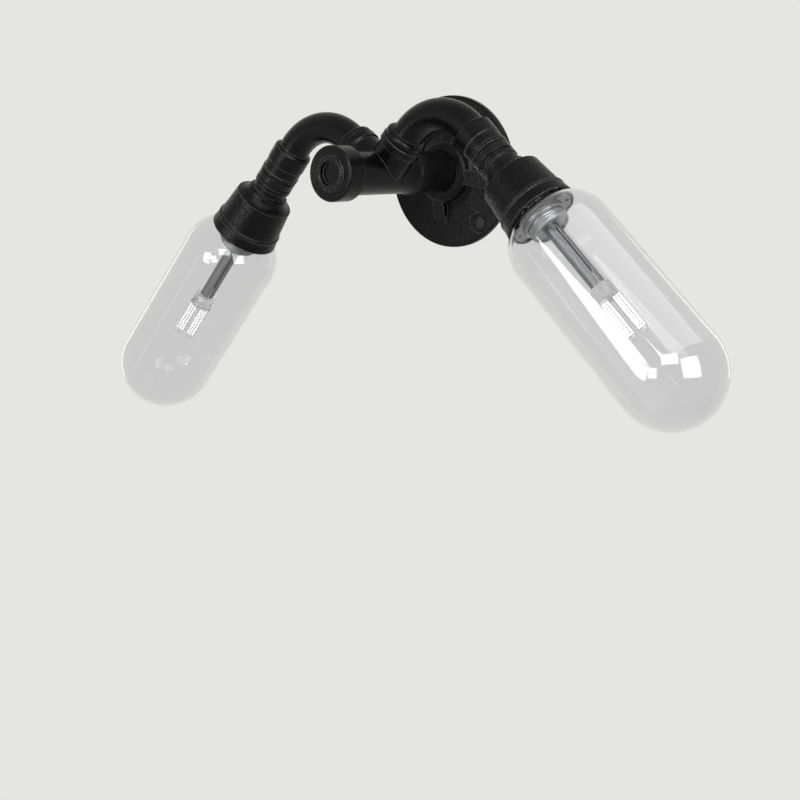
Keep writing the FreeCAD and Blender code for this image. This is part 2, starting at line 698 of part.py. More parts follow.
def drop_nipple(side_name, side):
    """Nipple from the elbow's collar through the swivel collar and the bell."""
    top = swivel_foot() + S.swivel_length + S.joint_gap + S.drop_socket - 0.3
    return turned("drop_nipple_" + side_name, [
        (S.nipple_bore, S.nipple_end), (S.nipple_radius, S.nipple_end), (S.nipple_radius, top),
        (S.nipple_bore, top)], lamp_frame(side))


def swivel_collar(side_name, side):
    """Narrow band between the elbow and the bell."""
    low = swivel_foot()
    top = low + S.swivel_length
    wide = S.swivel_radius
    return turned("swivel_collar_" + side_name, [
        (S.nipple_radius + S.fit, low), (wide - 0.8, low), (wide, low + 0.8, 0.8),
        (wide, top - 0.8), (wide - 0.8, top, 0.8), (S.nipple_radius + S.fit, top)],
        lamp_frame(side))


def bell(side_name, side):
    """Cast bell reducer: neck band, waist, round shoulder, beaded skirt and open mouth."""
    top = S.bell_height
    high = S.bell_shoulder_height
    bead = S.bell_bead_height
    bore = S.nipple_radius + S.fit
    return turned("bell_" + side_name, [
        (bore, S.bell_crown), (bore, top), (S.bell_neck - 0.7, top),
        (S.bell_neck, top - 0.7), (S.bell_neck, top - 4.2), (S.bell_waist, top - 5.2),
        (S.bell_waist, high + S.waist_rise),
        (S.bell_waist + S.brow_step, high + S.brow_rise, -3.2),
        (S.bell_shoulder, high, S.brow_round), (S.bell_skirt, bead + 2.0),
        (S.bell_bead, bead + 0.7, -2.4), (S.bell_bead, bead - 0.6), (S.bell_bead - 0.4, bead - 1.1),
        (S.bell_rim, 0.7), (S.bell_rim - 0.6, 0), (S.mouth_radius, 0),
        (S.mouth_radius, S.mouth_depth), (S.bell_inside + 0.3, S.mouth_depth),
        (S.bell_inside - 0.6, S.bell_crown - 7.0),
        (S.nut_flats + S.nut_land, S.bell_crown, S.crown_round)],
        lamp_frame(side))


def bell_nut(side_name, side):
    """Lock nut that clamps the bell on its nipple."""
    return hexagon("bell_nut_" + side_name, S.nut_flats, S.nipple_radius + S.fit,
                   S.bell_crown - S.nut_thick, S.nut_thick, lamp_frame(side))


def lamp_holder(side_name, side):
    """Threaded holder: screws on the nipple, carries the bridge and the stem."""
    inside = S.holder_radius - S.holder_wall
    face = -S.holder_face
    plate = face + S.holder_recess
    back = plate + S.holder_plate
    ledge = -S.bridge_place
    roof = S.nipple_end - 1.0
    return turned("lamp_holder_" + side_name, [
        (S.stem_radius + S.fit, plate), (inside, plate), (inside + 0.5, face),
        (S.holder_radius - 0.7, face), (S.holder_radius, face + 0.7), (S.holder_radius, ledge),
        (S.shoulder_radius, ledge), (S.shoulder_radius, ledge + 3.0),
        (S.holder_radius, ledge + 5.0), (S.holder_radius, S.holder_top - 0.8),
        (S.holder_radius - 0.8, S.holder_top), (S.nipple_radius + S.fit, S.holder_top),
        (S.nipple_radius + S.fit, roof + 0.6), (S.nipple_bore, roof + 0.6),
        (S.nipple_bore, roof - 1.4), (inside, roof - 3.4), (inside, back),
        (S.stem_radius + S.fit, back)], lamp_frame(side))


def bridge(side_name, side):
    """Flat steel bar across the mouth: ends rounded to the mouth, two small holes."""
    body = new_body("bridge_" + side_name)
    low = -S.bridge_place - S.bridge_thick
    wide, far = S.bridge_width / 2.0, S.bridge_reach
    reach = Size(math.sqrt(far.value ** 2 - wide.value ** 2),
                 "sqrt(%s * %s - %s * %s)" % (far.text, far.text, wide.text, wide.text))
    bar = new_sketch(body, "Bar_" + side_name, "XY_Plane", lift=low)
    outline(bar, [(-reach, -wide, far), (reach, -wide), (reach, wide, far), (-reach, wide)])
    for sign in (-1.0, 1.0):
        ring(bar, S.bridge_hole, S.bridge_hole_place * sign, 0.0)
    pad(body, bar, S.bridge_thick)
    middle = new_sketch(body, "Middle_" + side_name, "XY_Plane", lift=low)
    ring(middle, S.bridge_middle)
    pad(body, middle, S.bridge_thick)
    bore = new_sketch(body, "BridgeBore_" + side_name, "XY_Plane", lift=low)
    ring(bore, S.holder_radius + S.fit)
    pad(body, bore, S.bridge_thick, cut=True, back=True)
    body.Placement = lamp_frame(side).multiply(Placement(Vector(0, 0, 0), Rotation(
        Vector(0, 0, 1), S.bridge_turn.value)))
    return body


def bridge_ring(side_name, side):
    """Round nut that clamps the bridge against the holder's shoulder."""
    top = -S.bridge_place - S.bridge_thick
    low = top - S.ring_length
    wide = S.ring_radius
    return turned("bridge_ring_" + side_name, [
        (S.holder_radius + S.fit, low), (wide - 0.8, low), (wide, low + 0.8),
        (wide, top - 0.5), (wide - 0.5, top), (S.holder_radius + S.fit, top)],
        lamp_frame(side))


def slit_angle(side):
    """Where the stem's slit faces, about the lamp's axis."""
    return S.slit_middle.value + side * S.slit_turn.value


def stem(side_name, side):
    """Rolled metal tube that carries the bulb: open along a narrow slit."""
    body = new_body("stem_" + side_name)
    tube = new_sketch(body, "Tube_" + side_name)
    inside = S.stem_radius - S.stem_wall
    outline(tube, [(inside, -S.stem_end), (S.stem_radius, -S.stem_end),
                   (S.stem_radius, S.stem_top), (inside, S.stem_top)])
    spin(body, tube)
    slit = new_sketch(body, "Slit_" + side_name, "YZ_Plane", lift=S.stem_radius - 3.0)
    half = S.slit_width / 2.0
    outline(slit, [(-half, -S.stem_end - 1.0), (half, -S.stem_end - 1.0),
                   (half, -S.slit_start), (-half, -S.slit_start)])
    pad(body, slit, 4.0, cut=True, back=True)
    body.Placement = lamp_frame(side).multiply(Placement(Vector(0, 0, 0), Rotation(
        Vector(0, 0, 1), slit_angle(side))))
    return body


def stem_nut(side_name, side):
    """Hexagon nut that clamps the stem behind the holder's face."""
    low = -S.holder_face + S.holder_recess + S.holder_plate
    return hexagon("stem_nut_" + side_name, S.stem_nut_flats, S.stem_radius + S.fit, low,
                   S.stem_nut_thick, lamp_frame(side))


def lamp_socket(side_name, side):
    """Ceramic socket in the stem's end, with two pin holes."""
    body = new_body("lamp_socket_" + side_name)
    block = new_sketch(body, "Socket_" + side_name, "XY_Plane", lift=-S.stem_end)
    ring(block, S.stem_radius - S.stem_wall - S.fit)
    pad(body, block, S.socket_length)
    holes = new_sketch(body, "PinHoles_" + side_name, "XY_Plane", lift=-S.stem_end)
    for sign in (-0.5, 0.5):
        ring(holes, S.pin_hole, 0.0, S.pin_space * sign)
    pad(body, holes, S.pin_length + 1.0, cut=True, back=True)
    body.Placement = bulb_frame(side)
    return body


def pair_of_rods(label, radius, space, low, length, spot):
    """Two parallel round rods."""
    body = new_body(label)
    body.AllowCompound = True
    sketch = new_sketch(body, "Rods_" + label, "XY_Plane", lift=low)
    for sign in (-0.5, 0.5):
        ring(sketch, radius, 0.0, space * sign)
    pad(body, sketch, length)
    body.Placement = spot
    return body


def stem_wires(side_name, side):
    """Two insulated wires from the lead's end down the stem to the socket."""
    low = -S.stem_end + S.socket_length
    length = S.lead_end - S.lead_gap - low
    return pair_of_rods("stem_wires_" + side_name, S.wire_radius, S.wire_space, low, length,
                        bulb_frame(side))


def bulb_frame(side):
    """The lamp's frame turned so that its pins and lights stand in a row along its Y."""
    return lamp_frame(side).multiply(Placement(Vector(0, 0, 0), Rotation(
        Vector(0, 0, 1), S.bulb_turn.value)))


def bulb_pins(side_name, side):
    """The capsule bulb's two pins."""
    low = -S.stem_end - S.bulb_gap
    return pair_of_rods("bulb_pins_" + side_name, S.pin_radius, S.pin_space, low, S.pin_length,
                        bulb_frame(side))


def bulb_base(side_name, side):
    """The bulb's clear moulded base, waisted, with a rounded top and foot."""
    top = -S.stem_end - S.bulb_gap
    low = top - S.bulb_base
    wide = S.bulb_radius
    return turned("bulb_base_" + side_name, [
        (0, low), (wide - 0.6, low), (wide, low + 0.6), (wide, low + 3.4),
        (wide - 0.7, low + 4.2), (wide - 0.7, low + 7.0), (wide - 0.1, low + 7.8),
        (wide - 0.1, top - 2.0), (wide - 2.1, top, 2.0), (0, top)], bulb_frame(side))


def bulb_fingers(side_name, side):
    """The two clear fingers of the bulb: hollow, closed with a round end."""
    body = new_body("bulb_fingers_" + side_name)
    body.AllowCompound = True
    top = -S.stem_end - S.bulb_gap - S.bulb_base
    wide, thick = S.finger_radius, S.finger_wall
    low = top - S.finger_length
    inner = wide - thick
    shift = S.finger_space / 2.0
    sketch = new_sketch(body, "Finger_" + side_name, "YZ_Plane")
    outline(sketch, [
        (shift, low), (shift + wide, low + wide, wide), (shift + wide, top),
        (shift + inner, top), (shift + inner, low + wide), (shift, low + thick, -inner)])
    upright_axis(sketch, shift)
    repeat(body, [spin(body, sketch, "Axis0")], 2)
    body.Placement = bulb_frame(side)
    return body


def bulb_strips(side_name, side):
    """The light strip in each finger."""
    body = new_body("bulb_strips_" + side_name)
    body.AllowCompound = True
    top = -S.stem_end - S.bulb_gap - S.bulb_base
    length = S.finger_length - S.finger_radius
    sketch = new_sketch(body, "Strips_" + side_name, "XY_Plane", lift=top - length)
    half, thin = S.strip_width / 2.0, S.strip_thick / 2.0
    for sign in (-0.5, 0.5):
        middle = S.finger_space * sign
        outline(sketch, [(-thin, middle - half), (thin, middle - half), (thin, middle + half),
                         (-thin, middle + half)])
    pad(body, sketch, length)
    body.Placement = bulb_frame(side)
    return body


def gasket(side_name, side):
    """Rubber ring between the glass and the seat in the bell's mouth."""
    low = S.mouth_depth - S.gasket_thick
    return turned("gasket_" + side_name, [
        (S.gasket_bore, low), (S.glass_neck, low), (S.glass_neck, S.mouth_depth),
        (S.gasket_bore, S.mouth_depth)], lamp_frame(side))


def tangent_radius(across, along):
    """Radius of the arc that starts level with the barrel and ends across and along."""
    return (across * across + along * along) / (across * 2.0)


def glass_shade(side_name, side):
    """Blown capsule: short neck, round shoulder, straight barrel and half-round end."""
    wide, wall = S.glass_radius, S.glass_wall
    neck, bore = S.glass_neck, S.glass_neck - S.neck_wall
    rise, low = S.glass_shoulder, S.glass_barrel
    outer = tangent_radius(wide - neck - 0.6, rise - 1.0)
    inner = tangent_radius(wide - wall - bore, rise + 0.4)
    return turned("glass_shade_" + side_name, [
        (neck, S.neck_depth), (bore, S.neck_depth), (bore, 0.4),
        (wide - wall, -rise, -inner), (wide - wall, -low),
        (0, -low - wide + wall, -(wide - wall)), (0, -low - wide), (wide, -low, wide),
        (wide, -rise), (neck + 0.6, -1.0, outer), (neck, -0.2, -1.0)], lamp_frame(side))


def make_side(side_name, side):
    """Everything on one side of the tee."""
    makers = [supply_lead, outlet_nipple, elbow, arm_lead, drop_nipple, swivel_collar, bell,
              bell_nut, lamp_holder, bridge, bridge_ring, stem, stem_nut, stem_wires,
              lamp_socket, gasket, glass_shade, bulb_base, bulb_pins, bulb_fingers,
              bulb_strips]
    return [make(side_name, side) for make in makers]


def check(bodies):
    """Stop when any object failed or any piece is empty or broken."""
    doc.recompute()
    for item in doc.Objects:
        if "Invalid" in item.State or "Error" in item.State:
            raise RuntimeError("%s: %s" % (item.Label, item.State))
    for body in bodies:
        if body.Shape.isNull() or not body.Shape.isValid() or not body.Shape.Solids:
            raise RuntimeError("bad shape: " + body.Label)


def main():
    bodies = [wall_flange(), flange_screws(), wall_neck(), side_outlet_tee(), front_cap(),
              terminal_block(), terminal_screws(), block_screws(), earth_screw()]
    for side_name, side in SIDES.items():
        bodies += make_side(side_name, side)
    check(bodies)
    os.makedirs("parts", exist_ok=True)
    for body in bodies:
        body.Shape.exportStep("parts/%s.step" % body.Label)
        print("%-24s solids %d volume %9.1f" % (body.Label, len(body.Shape.Solids),
                                                body.Shape.Volume))


main()
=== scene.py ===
"""Looks of a pipe wall light: black cast fittings, two clear glass shades and capsule bulbs.

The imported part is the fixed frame. The operators below give its nodes their finishes, and
add the surfaces that need more than the part holds: blown glass, screw threads, the bulbs'
moulded glass and rows of light chips, and the recessed screw heads. Lengths are in metres.
"""
import json
import math

import bmesh
import bpy
import numpy as np
from bpy.props import FloatProperty, FloatVectorProperty, IntProperty, PointerProperty
from bpy.types import Operator, Panel, PropertyGroup
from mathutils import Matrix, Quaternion, Vector


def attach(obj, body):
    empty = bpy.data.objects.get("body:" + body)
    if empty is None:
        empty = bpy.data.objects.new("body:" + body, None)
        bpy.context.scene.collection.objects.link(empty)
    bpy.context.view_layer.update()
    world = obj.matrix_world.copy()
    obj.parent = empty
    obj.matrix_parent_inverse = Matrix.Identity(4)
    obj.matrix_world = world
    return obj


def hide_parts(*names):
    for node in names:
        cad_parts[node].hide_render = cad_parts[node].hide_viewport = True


bl_info = {
    "name": "Pipe Wall Light",
    "version": (1, 0, 0),
    "blender": (4, 5, 0),
    "location": "View3D > Sidebar > Pipe Light",
    "description": "Finishes and fine surfaces of a pipe wall light with two glass shades",
    "category": "Object",
}

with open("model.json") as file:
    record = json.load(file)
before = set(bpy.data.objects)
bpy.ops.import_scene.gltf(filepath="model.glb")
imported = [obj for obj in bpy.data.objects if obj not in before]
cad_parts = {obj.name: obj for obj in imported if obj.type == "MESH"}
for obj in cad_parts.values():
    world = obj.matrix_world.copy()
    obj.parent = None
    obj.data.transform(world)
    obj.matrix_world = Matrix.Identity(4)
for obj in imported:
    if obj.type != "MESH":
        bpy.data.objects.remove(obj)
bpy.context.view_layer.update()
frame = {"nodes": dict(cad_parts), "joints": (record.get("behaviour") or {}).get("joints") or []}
SIDES = ("right", "left")
MM = 0.001
TURN = 2.0 * math.pi
OUTWARDS = np.array([0.0, -1.0, 0.0])  # away from the wall
BULB_TURN = -57.0  # degrees that both bulbs are turned in their sockets
MERGE = 1e-7  # points closer than this are merged
SLIVER = 1e-8  # edges shorter than this are dropped
NOISE_LOW, NOISE_HIGH = 0.3, 0.7  # nearly all of a noise lies between these
MIX_SHARE, MIX_FIRST, MIX_SECOND, MIX_RESULT = 0, 6, 7, 2  # a colour mix's sockets


# ---- where the lamps are ----------------------------------------------------------------

def joint(name):
    """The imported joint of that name."""
    return next(j for j in frame["joints"] if j["name"] == name)


def unit(vector):
    """The vector's direction, at length one."""
    return np.asarray(vector, float) / np.linalg.norm(vector)


def node_points(name):
    """A node's vertices as an array, one row each."""
    mesh = frame["nodes"][name].data
    points = np.empty(len(mesh.vertices) * 3, np.float32)
    mesh.vertices.foreach_get("co", points)
    return points.reshape(-1, 3).astype(float)


class Lamp:
    """One lamp's own frame: z runs up its axis from the bell's rim, x back towards the tee."""

    def __init__(self, side):
        turning = joint("lamp_turn_" + side)
        self.z = -unit(turning["axis"])
        corner = np.array(turning["pos_m"])
        tee = np.array(joint("arm_turn_" + side)["pos_m"])
        back = tee - corner
        self.x = unit(back - self.z * (back @ self.z))
        self.y = np.cross(self.z, self.x)
        low = ((node_points("bell_" + side) - corner) @ self.z).min()
        self.origin = corner + self.z * low

    def turned(self, degrees):
        """The x and y directions turned about the lamp's axis."""
        c, s = math.cos(math.radians(degrees)), math.sin(math.radians(degrees))
        return self.x * c + self.y * s, self.y * c - self.x * s


LAMPS = {side: Lamp(side) for side in SIDES}


# ---- surfaces ---------------------------------------------------------------------------

def place(points, origin, x, y, z):
    """Points of a frame of their own in the object's: origin + px x + py y + pz z."""
    return origin + points[..., :1] * x + points[..., 1:2] * y + points[..., 2:3] * z


def grid_faces(rows, columns, wrap_rows, wrap_columns):
    """Corner numbers of the quads of a rows by columns grid, as one array."""
    i = np.arange(rows if wrap_rows else rows - 1)
    j = np.arange(columns if wrap_columns else columns - 1)
    i, j = (a.ravel() for a in np.meshgrid(i, j, indexing="ij"))
    i2, j2 = (i + 1) % rows, (j + 1) % columns
    return np.stack([i * columns + j, i * columns + j2, i2 * columns + j2, i2 * columns + j], 1)


def surface(name, sheets, sharp=35.0):
    """A mesh object from one or more (points, faces) sheets, closed and facing outwards."""
    points, faces, base = [], [], 0
    for sheet_points, sheet_faces in sheets:
        flat = np.asarray(sheet_points, float).reshape(-1, 3)
        points.append(flat)
        faces.append(sheet_faces + base)
        base += len(flat)
    mesh = bpy.data.meshes.new(name)
    mesh.from_pydata(np.concatenate(points).tolist(), [], np.concatenate(faces).tolist())
    work = bmesh.new()
    work.from_mesh(mesh)
    bmesh.ops.remove_doubles(work, verts=work.verts, dist=MERGE)
    bmesh.ops.dissolve_degenerate(work, edges=work.edges, dist=SLIVER)
    bmesh.ops.recalc_face_normals(work, faces=work.faces)
    work.to_mesh(mesh)
    work.free()
    mesh.shade_smooth()
    mesh.set_sharp_from_angle(angle=math.radians(sharp))
    mesh.update()
    piece = bpy.data.objects.new(name, mesh)
    bpy.context.scene.collection.objects.link(piece)
    return piece


def once_round(count):
    """Evenly spaced angles once round, the last one short of the first."""
    return np.linspace(0.0, TURN, count, endpoint=False)


def polar(radius, angle, height):
    """Points at a radius, angle and height: (r cos a, r sin a, h)."""
    return np.stack([radius * np.cos(angle), radius * np.sin(angle), height], -1)


def swell(angle):
    """A smooth wave, (1 - cos a) / 2: 0 at each whole turn and 1 half way between."""
    return 0.5 - 0.5 * np.cos(angle)


def lathe(profile, origin, x, y, z, segments, ripple=None, closed=False):
    """A profile of (radius, height) pairs turned about z: (r cos a, r sin a, h).

    ripple(radius, height, angle) may change the radius over the grid. A closed profile's last
    point joins its first."""
    profile = np.asarray(profile, float)
    radius, angles = np.meshgrid(profile[:, 0], once_round(segments), indexing="ij")
    height = np.broadcast_to(profile[:, 1:2], radius.shape)
    if ripple is not None:
        radius = ripple(radius, height, angles)
    faces = grid_faces(len(profile), segments, closed, True)
    return place(polar(radius, angles, height), origin, x, y, z), faces


def arc(centre, radius, start, end, count):
    """Points on a circle: centre + radius (cos a, sin a), a from start to end in degrees."""
    a = np.radians(np.linspace(start, end, count))
    return np.stack([centre[0] + radius * np.cos(a), centre[1] + radius * np.sin(a)], 1)


def line(start, end, count):
    """Evenly spaced points from start to end."""
    return np.linspace(start, end, count)


# ---- materials --------------------------------------------------------------------------

def srgb(text):
    """A hex colour as linear RGBA, by the sRGB curve."""
    parts = [int(text.lstrip("#")[i:i + 2], 16) / 255.0 for i in (0, 2, 4)]
    return tuple(c / 12.92 if c <= 0.04045 else ((c + 0.055) / 1.055) ** 2.4
                 for c in parts) + (1.0,)


def add(tree, kind, settings=None, inputs=None, stops=()):
    """A node of that kind with its settings; an input may be a value or another socket.

    Stops are a colour ramp's places and hex colours."""
    node = tree.nodes.new(kind)
    for key, value in (settings or {}).items():
        setattr(node, key, value)
    for key, value in (inputs or {}).items():
        if isinstance(value, bpy.types.NodeSocket):
            tree.links.new(value, node.inputs[key])
        else:
            node.inputs[key].default_value = value
    for number, (at, colour) in enumerate(stops):
        stop = node.color_ramp.elements[number]
        stop.position, stop.color = at, srgb(colour)
    return node


def fresh(name, **sockets):
    """A material with one Principled shader and its constants set on the shader's sockets."""
    material = bpy.data.materials.new(name)
    material.use_nodes = True
    tree = material.node_tree
    shader = tree.nodes["Principled BSDF"]
    for key, value in sockets.items():
        shader.inputs[key.replace("_", " ")].default_value = value
    return material, tree, shader


def black_iron(name, grain, colour="#020202", light="#050505", rough=0.27, edge=0.5,
               sheen=0.11, depth=0.5):
    """Iron or steel under satin black: dark and softly glossy, and paler at its edges, where worn
    paint and a painted edge highlight are both shown.

    The surface has a pebble of that grain and depth, in millimetres. It is drawn coarser than
    the real skin, which is too fine to show."""
    patch, unevenness = 9.0, 0.35
    smoother, duller = 0.07, 0.1
    # the pale edge tone stands for worn paint and also paints in the highlight of edges catching
    # light
    edge_mask_start, edge_mask_full, pale_edge_share, worn_and_highlight_tone = 0.985, 0.86, 0.6, "#787877"
    material, tree, shader = fresh(name, Metallic=0.0, IOR=1.5, Specular_IOR_Level=sheen)
    spot = add(tree, "ShaderNodeTexCoord")
    sand = add(tree, "ShaderNodeTexNoise", inputs={
        "Vector": spot.outputs["Object"], "Scale": 1.0 / (grain * MM), "Detail": 3.0,
        "Roughness": 0.6})
    skin = add(tree, "ShaderNodeTexNoise", inputs={
        "Vector": spot.outputs["Object"], "Scale": 1.0 / (patch * MM), "Detail": 2.0})
    tone = add(tree, "ShaderNodeValToRGB", inputs={"Fac": skin.outputs["Fac"]},
               stops=((0.35, colour), (NOISE_HIGH, light)))
    # near an edge the rounded normal leans away from the true one; there the colour turns pale,
    # partly as worn paint and partly as a painted highlight of the edge catching light
    rounded = add(tree, "ShaderNodeBevel", {"samples": 4}, {"Radius": edge * MM})
    shape = add(tree, "ShaderNodeNewGeometry")
    lean = add(tree, "ShaderNodeVectorMath", {"operation": "DOT_PRODUCT"},
               {0: rounded.outputs["Normal"], 1: shape.outputs["Normal"]})
    pale_edge_mask = add(tree, "ShaderNodeMapRange", inputs={
        "Value": lean.outputs["Value"], "From Min": edge_mask_start, "From Max": edge_mask_full,
        "To Min": 0.0, "To Max": pale_edge_share})
    paint = add(tree, "ShaderNodeMix", {"data_type": "RGBA"}, {
        MIX_SHARE: pale_edge_mask.outputs["Result"], MIX_FIRST: tone.outputs["Color"],
        MIX_SECOND: srgb(worn_and_highlight_tone)})
    tree.links.new(paint.outputs[MIX_RESULT], shader.inputs["Base Color"])
    gloss = add(tree, "ShaderNodeMapRange", inputs={
        "Value": sand.outputs["Fac"], "From Min": NOISE_LOW, "From Max": NOISE_HIGH,
        "To Min": rough - smoother, "To Max": rough + duller})
    tree.links.new(gloss.outputs["Result"], shader.inputs["Roughness"])
    swelling = add(tree, "ShaderNodeBump", inputs={
        "Strength": 0.5, "Distance": unevenness * MM, "Height": skin.outputs["Fac"],
        "Normal": rounded.outputs["Normal"]})
    pebble = add(tree, "ShaderNodeBump", inputs={
        "Strength": 1.0, "Distance": depth * MM, "Height": sand.outputs["Fac"],
        "Normal": swelling.outputs["Normal"]})
    tree.links.new(pebble.outputs["Normal"], shader.inputs["Normal"])
    return material


def bright_metal(name, colour, dark, rough):
    """Bare or plated metal with the faint scratches of its tool, drawn wide enough to show."""
    scratch, scratch_depth = 0.25, 0.03
    smoother, duller = 0.06, 0.08
    material, tree, shader = fresh(name, Metallic=1.0)
    spot = add(tree, "ShaderNodeTexCoord")
    marks = add(tree, "ShaderNodeTexNoise", inputs={
        "Vector": spot.outputs["Object"], "Scale": 1.0 / (scratch * MM), "Detail": 4.0})
    tone = add(tree, "ShaderNodeValToRGB", inputs={"Fac": marks.outputs["Fac"]},
               stops=((NOISE_LOW, dark), (NOISE_HIGH, colour)))
    tree.links.new(tone.outputs["Color"], shader.inputs["Base Color"])
    gloss = add(tree, "ShaderNodeMapRange", inputs={
        "Value": marks.outputs["Fac"], "From Min": NOISE_LOW, "From Max": NOISE_HIGH,
        "To Min": rough - smoother, "To Max": rough + duller})
    tree.links.new(gloss.outputs["Result"], shader.inputs["Roughness"])
    bump = add(tree, "ShaderNodeBump", inputs={
        "Strength": 0.25, "Distance": scratch_depth * MM, "Height": marks.outputs["Fac"]})
    tree.links.new(bump.outputs["Normal"], shader.inputs["Normal"])
    return material


def plain_solid(name, colour, dark, rough, grain, depth):
    """A matt moulded, pressed or fired body; its fine grain and depth are in millimetres."""
    material, tree, shader = fresh(name, Metallic=0.0, IOR=1.5, Roughness=rough)
    spot = add(tree, "ShaderNodeTexCoord")
    grainy = add(tree, "ShaderNodeTexNoise", inputs={
        "Vector": spot.outputs["Object"], "Scale": 1.0 / (grain * MM), "Detail": 3.0})
    tone = add(tree, "ShaderNodeValToRGB", inputs={"Fac": grainy.outputs["Fac"]},
               stops=((NOISE_LOW, dark), (NOISE_HIGH, colour)))
    tree.links.new(tone.outputs["Color"], shader.inputs["Base Color"])
    bump = add(tree, "ShaderNodeBump", inputs={
        "Strength": 0.4, "Distance": depth * MM, "Height": grainy.outputs["Fac"]})
    tree.links.new(bump.outputs["Normal"], shader.inputs["Normal"])
    return material


def clear_glass(name, tint, edge_tint, wave, wave_depth, shine="#ffffff", back_shine="#ffffff",
                clear=1.0):
    """Glass with a tint where the wall faces the eye and another where it is seen edge on.

    Its surface waves gently, by that length and depth in millimetres. Shine tints the mirror
    image in a face seen from the air, back_shine in one seen from within the glass. Below 1,
    clear leaves the rest of the wall milky."""
    edge_starts, edge_ends = 0.72, 0.97
    material, tree, shader = fresh(name, Roughness=0.0, IOR=1.5, Metallic=0.0,
                                   Transmission_Weight=clear)
    which = add(tree, "ShaderNodeNewGeometry")
    mirror = add(tree, "ShaderNodeValToRGB", inputs={"Fac": which.outputs["Backfacing"]},
                 stops=((0.0, shine), (1.0, back_shine)))
    tree.links.new(mirror.outputs["Color"], shader.inputs["Specular Tint"])
    facing = add(tree, "ShaderNodeLayerWeight", inputs={"Blend": 0.5})
    tone = add(tree, "ShaderNodeValToRGB", inputs={"Fac": facing.outputs["Facing"]},
               stops=((edge_starts, tint), (edge_ends, edge_tint)))
    tree.links.new(tone.outputs["Color"], shader.inputs["Base Color"])
    spot = add(tree, "ShaderNodeTexCoord")
    ripples = add(tree, "ShaderNodeTexNoise", inputs={
        "Vector": spot.outputs["Object"], "Scale": 1.0 / (wave * MM), "Detail": 1.0})
    bump = add(tree, "ShaderNodeBump", inputs={
        "Strength": 0.35, "Distance": wave_depth * MM, "Height": ripples.outputs["Fac"]})
    tree.links.new(bump.outputs["Normal"], shader.inputs["Normal"])
    return material


def glowing_chip(name, colour, strength):
    """Phosphor-coated light chips, lit: pale and evenly bright."""
    tone = srgb(colour)
    return fresh(name, Roughness=0.35, IOR=1.5, Base_Color=tone, Emission_Color=tone,
                 Emission_Strength=strength)[0]


def dress(piece, material):
    """Give a piece that one material."""
    piece.data.materials.clear()
    piece.data.materials.append(material)


def dress_nodes(material, *names):
    """Give CAD nodes a finish through their own material slots."""
    for name in names:
        node = frame["nodes"][name]
        if not node.material_slots:
            node.data.materials.append(material)
        for slot in node.material_slots:
            slot.material = material


def both(*names):
    """The right-hand and left-hand node of each name."""
    return [name + "_" + side for name in names for side in SIDES]


# ---- sizes and colours that a user may change -------------------------------------------

class PIPELIGHT_PG_castings(PropertyGroup):
    """Black fittings."""
    grain: FloatProperty(
        name="Sand grain", description="Grain of the cast skin in millimetres", default=2.0,
        min=0.2, max=3.0)


class PIPELIGHT_PG_shade(PropertyGroup):
    """Blown glass shade."""
    radius: FloatProperty(
        name="Radius", description="Outer radius of the barrel", default=40.0 * MM,
        unit="LENGTH", subtype="DISTANCE")
    wall: FloatProperty(
        name="Wall", description="Thickness of the glass", default=1.6 * MM, unit="LENGTH",
        subtype="DISTANCE")
    neck: FloatProperty(
        name="Neck", description="Outer radius of the neck in the bell", default=26.6 * MM,
        unit="LENGTH", subtype="DISTANCE")
    depth: FloatProperty(
        name="Neck depth", description="How far the neck stands in the bell",
        default=7.3 * MM, unit="LENGTH", subtype="DISTANCE")
    shoulder: FloatProperty(
        name="Shoulder", description="Where the shoulder meets the barrel, below the rim",
        default=26.0 * MM, unit="LENGTH", subtype="DISTANCE")
    barrel: FloatProperty(
        name="Barrel end", description="Where the round end starts, below the rim",
        default=149.7 * MM, unit="LENGTH", subtype="DISTANCE")


class PIPELIGHT_PG_bulb(PropertyGroup):
    """Capsule bulb."""
    foot: FloatProperty(
        name="Foot", description="Where the bulb's base starts, below the rim",
        default=70.5 * MM, unit="LENGTH", subtype="DISTANCE")
    base: FloatProperty(
        name="Base length", description="Length of the moulded base", default=12.0 * MM,
        unit="LENGTH", subtype="DISTANCE")
    radius: FloatProperty(
        name="Base radius", description="Radius of the moulded base", default=8.7 * MM,
        unit="LENGTH", subtype="DISTANCE")
    finger: FloatProperty(
        name="Finger radius", description="Radius of each glass finger", default=4.4 * MM,
        unit="LENGTH", subtype="DISTANCE")
    spacing: FloatProperty(
        name="Finger spacing", description="Distance between the fingers' axes",
        default=9.9 * MM, unit="LENGTH", subtype="DISTANCE")
    length: FloatProperty(
        name="Finger length", description="Length of the fingers", default=35.0 * MM,
        unit="LENGTH", subtype="DISTANCE")
    chips: IntProperty(
        name="Chips", description="Light chips in each row", default=13, min=3, max=24)
    glow: FloatProperty(
        name="Glow", description="Strength of the lit chips", default=1.1, min=0.0, max=20.0)


class PIPELIGHT_PG_stage(PropertyGroup):
    """Floor, backdrop and lamps."""
    pale: FloatVectorProperty(
        name="Backdrop", description="Tone of the floor and backdrop", subtype="COLOR", size=4,
        min=0.0, max=1.0, default=srgb("#e5e5e3"))
    floor: FloatProperty(
        name="Floor", description="Height of the floor, from the flange's middle",
        default=-0.75, unit="LENGTH", subtype="DISTANCE")
    sky: FloatProperty(
        name="Sky", description="Strength of the even light", default=0.55, min=0.0, max=5.0)


# ---- operators --------------------------------------------------------------------------

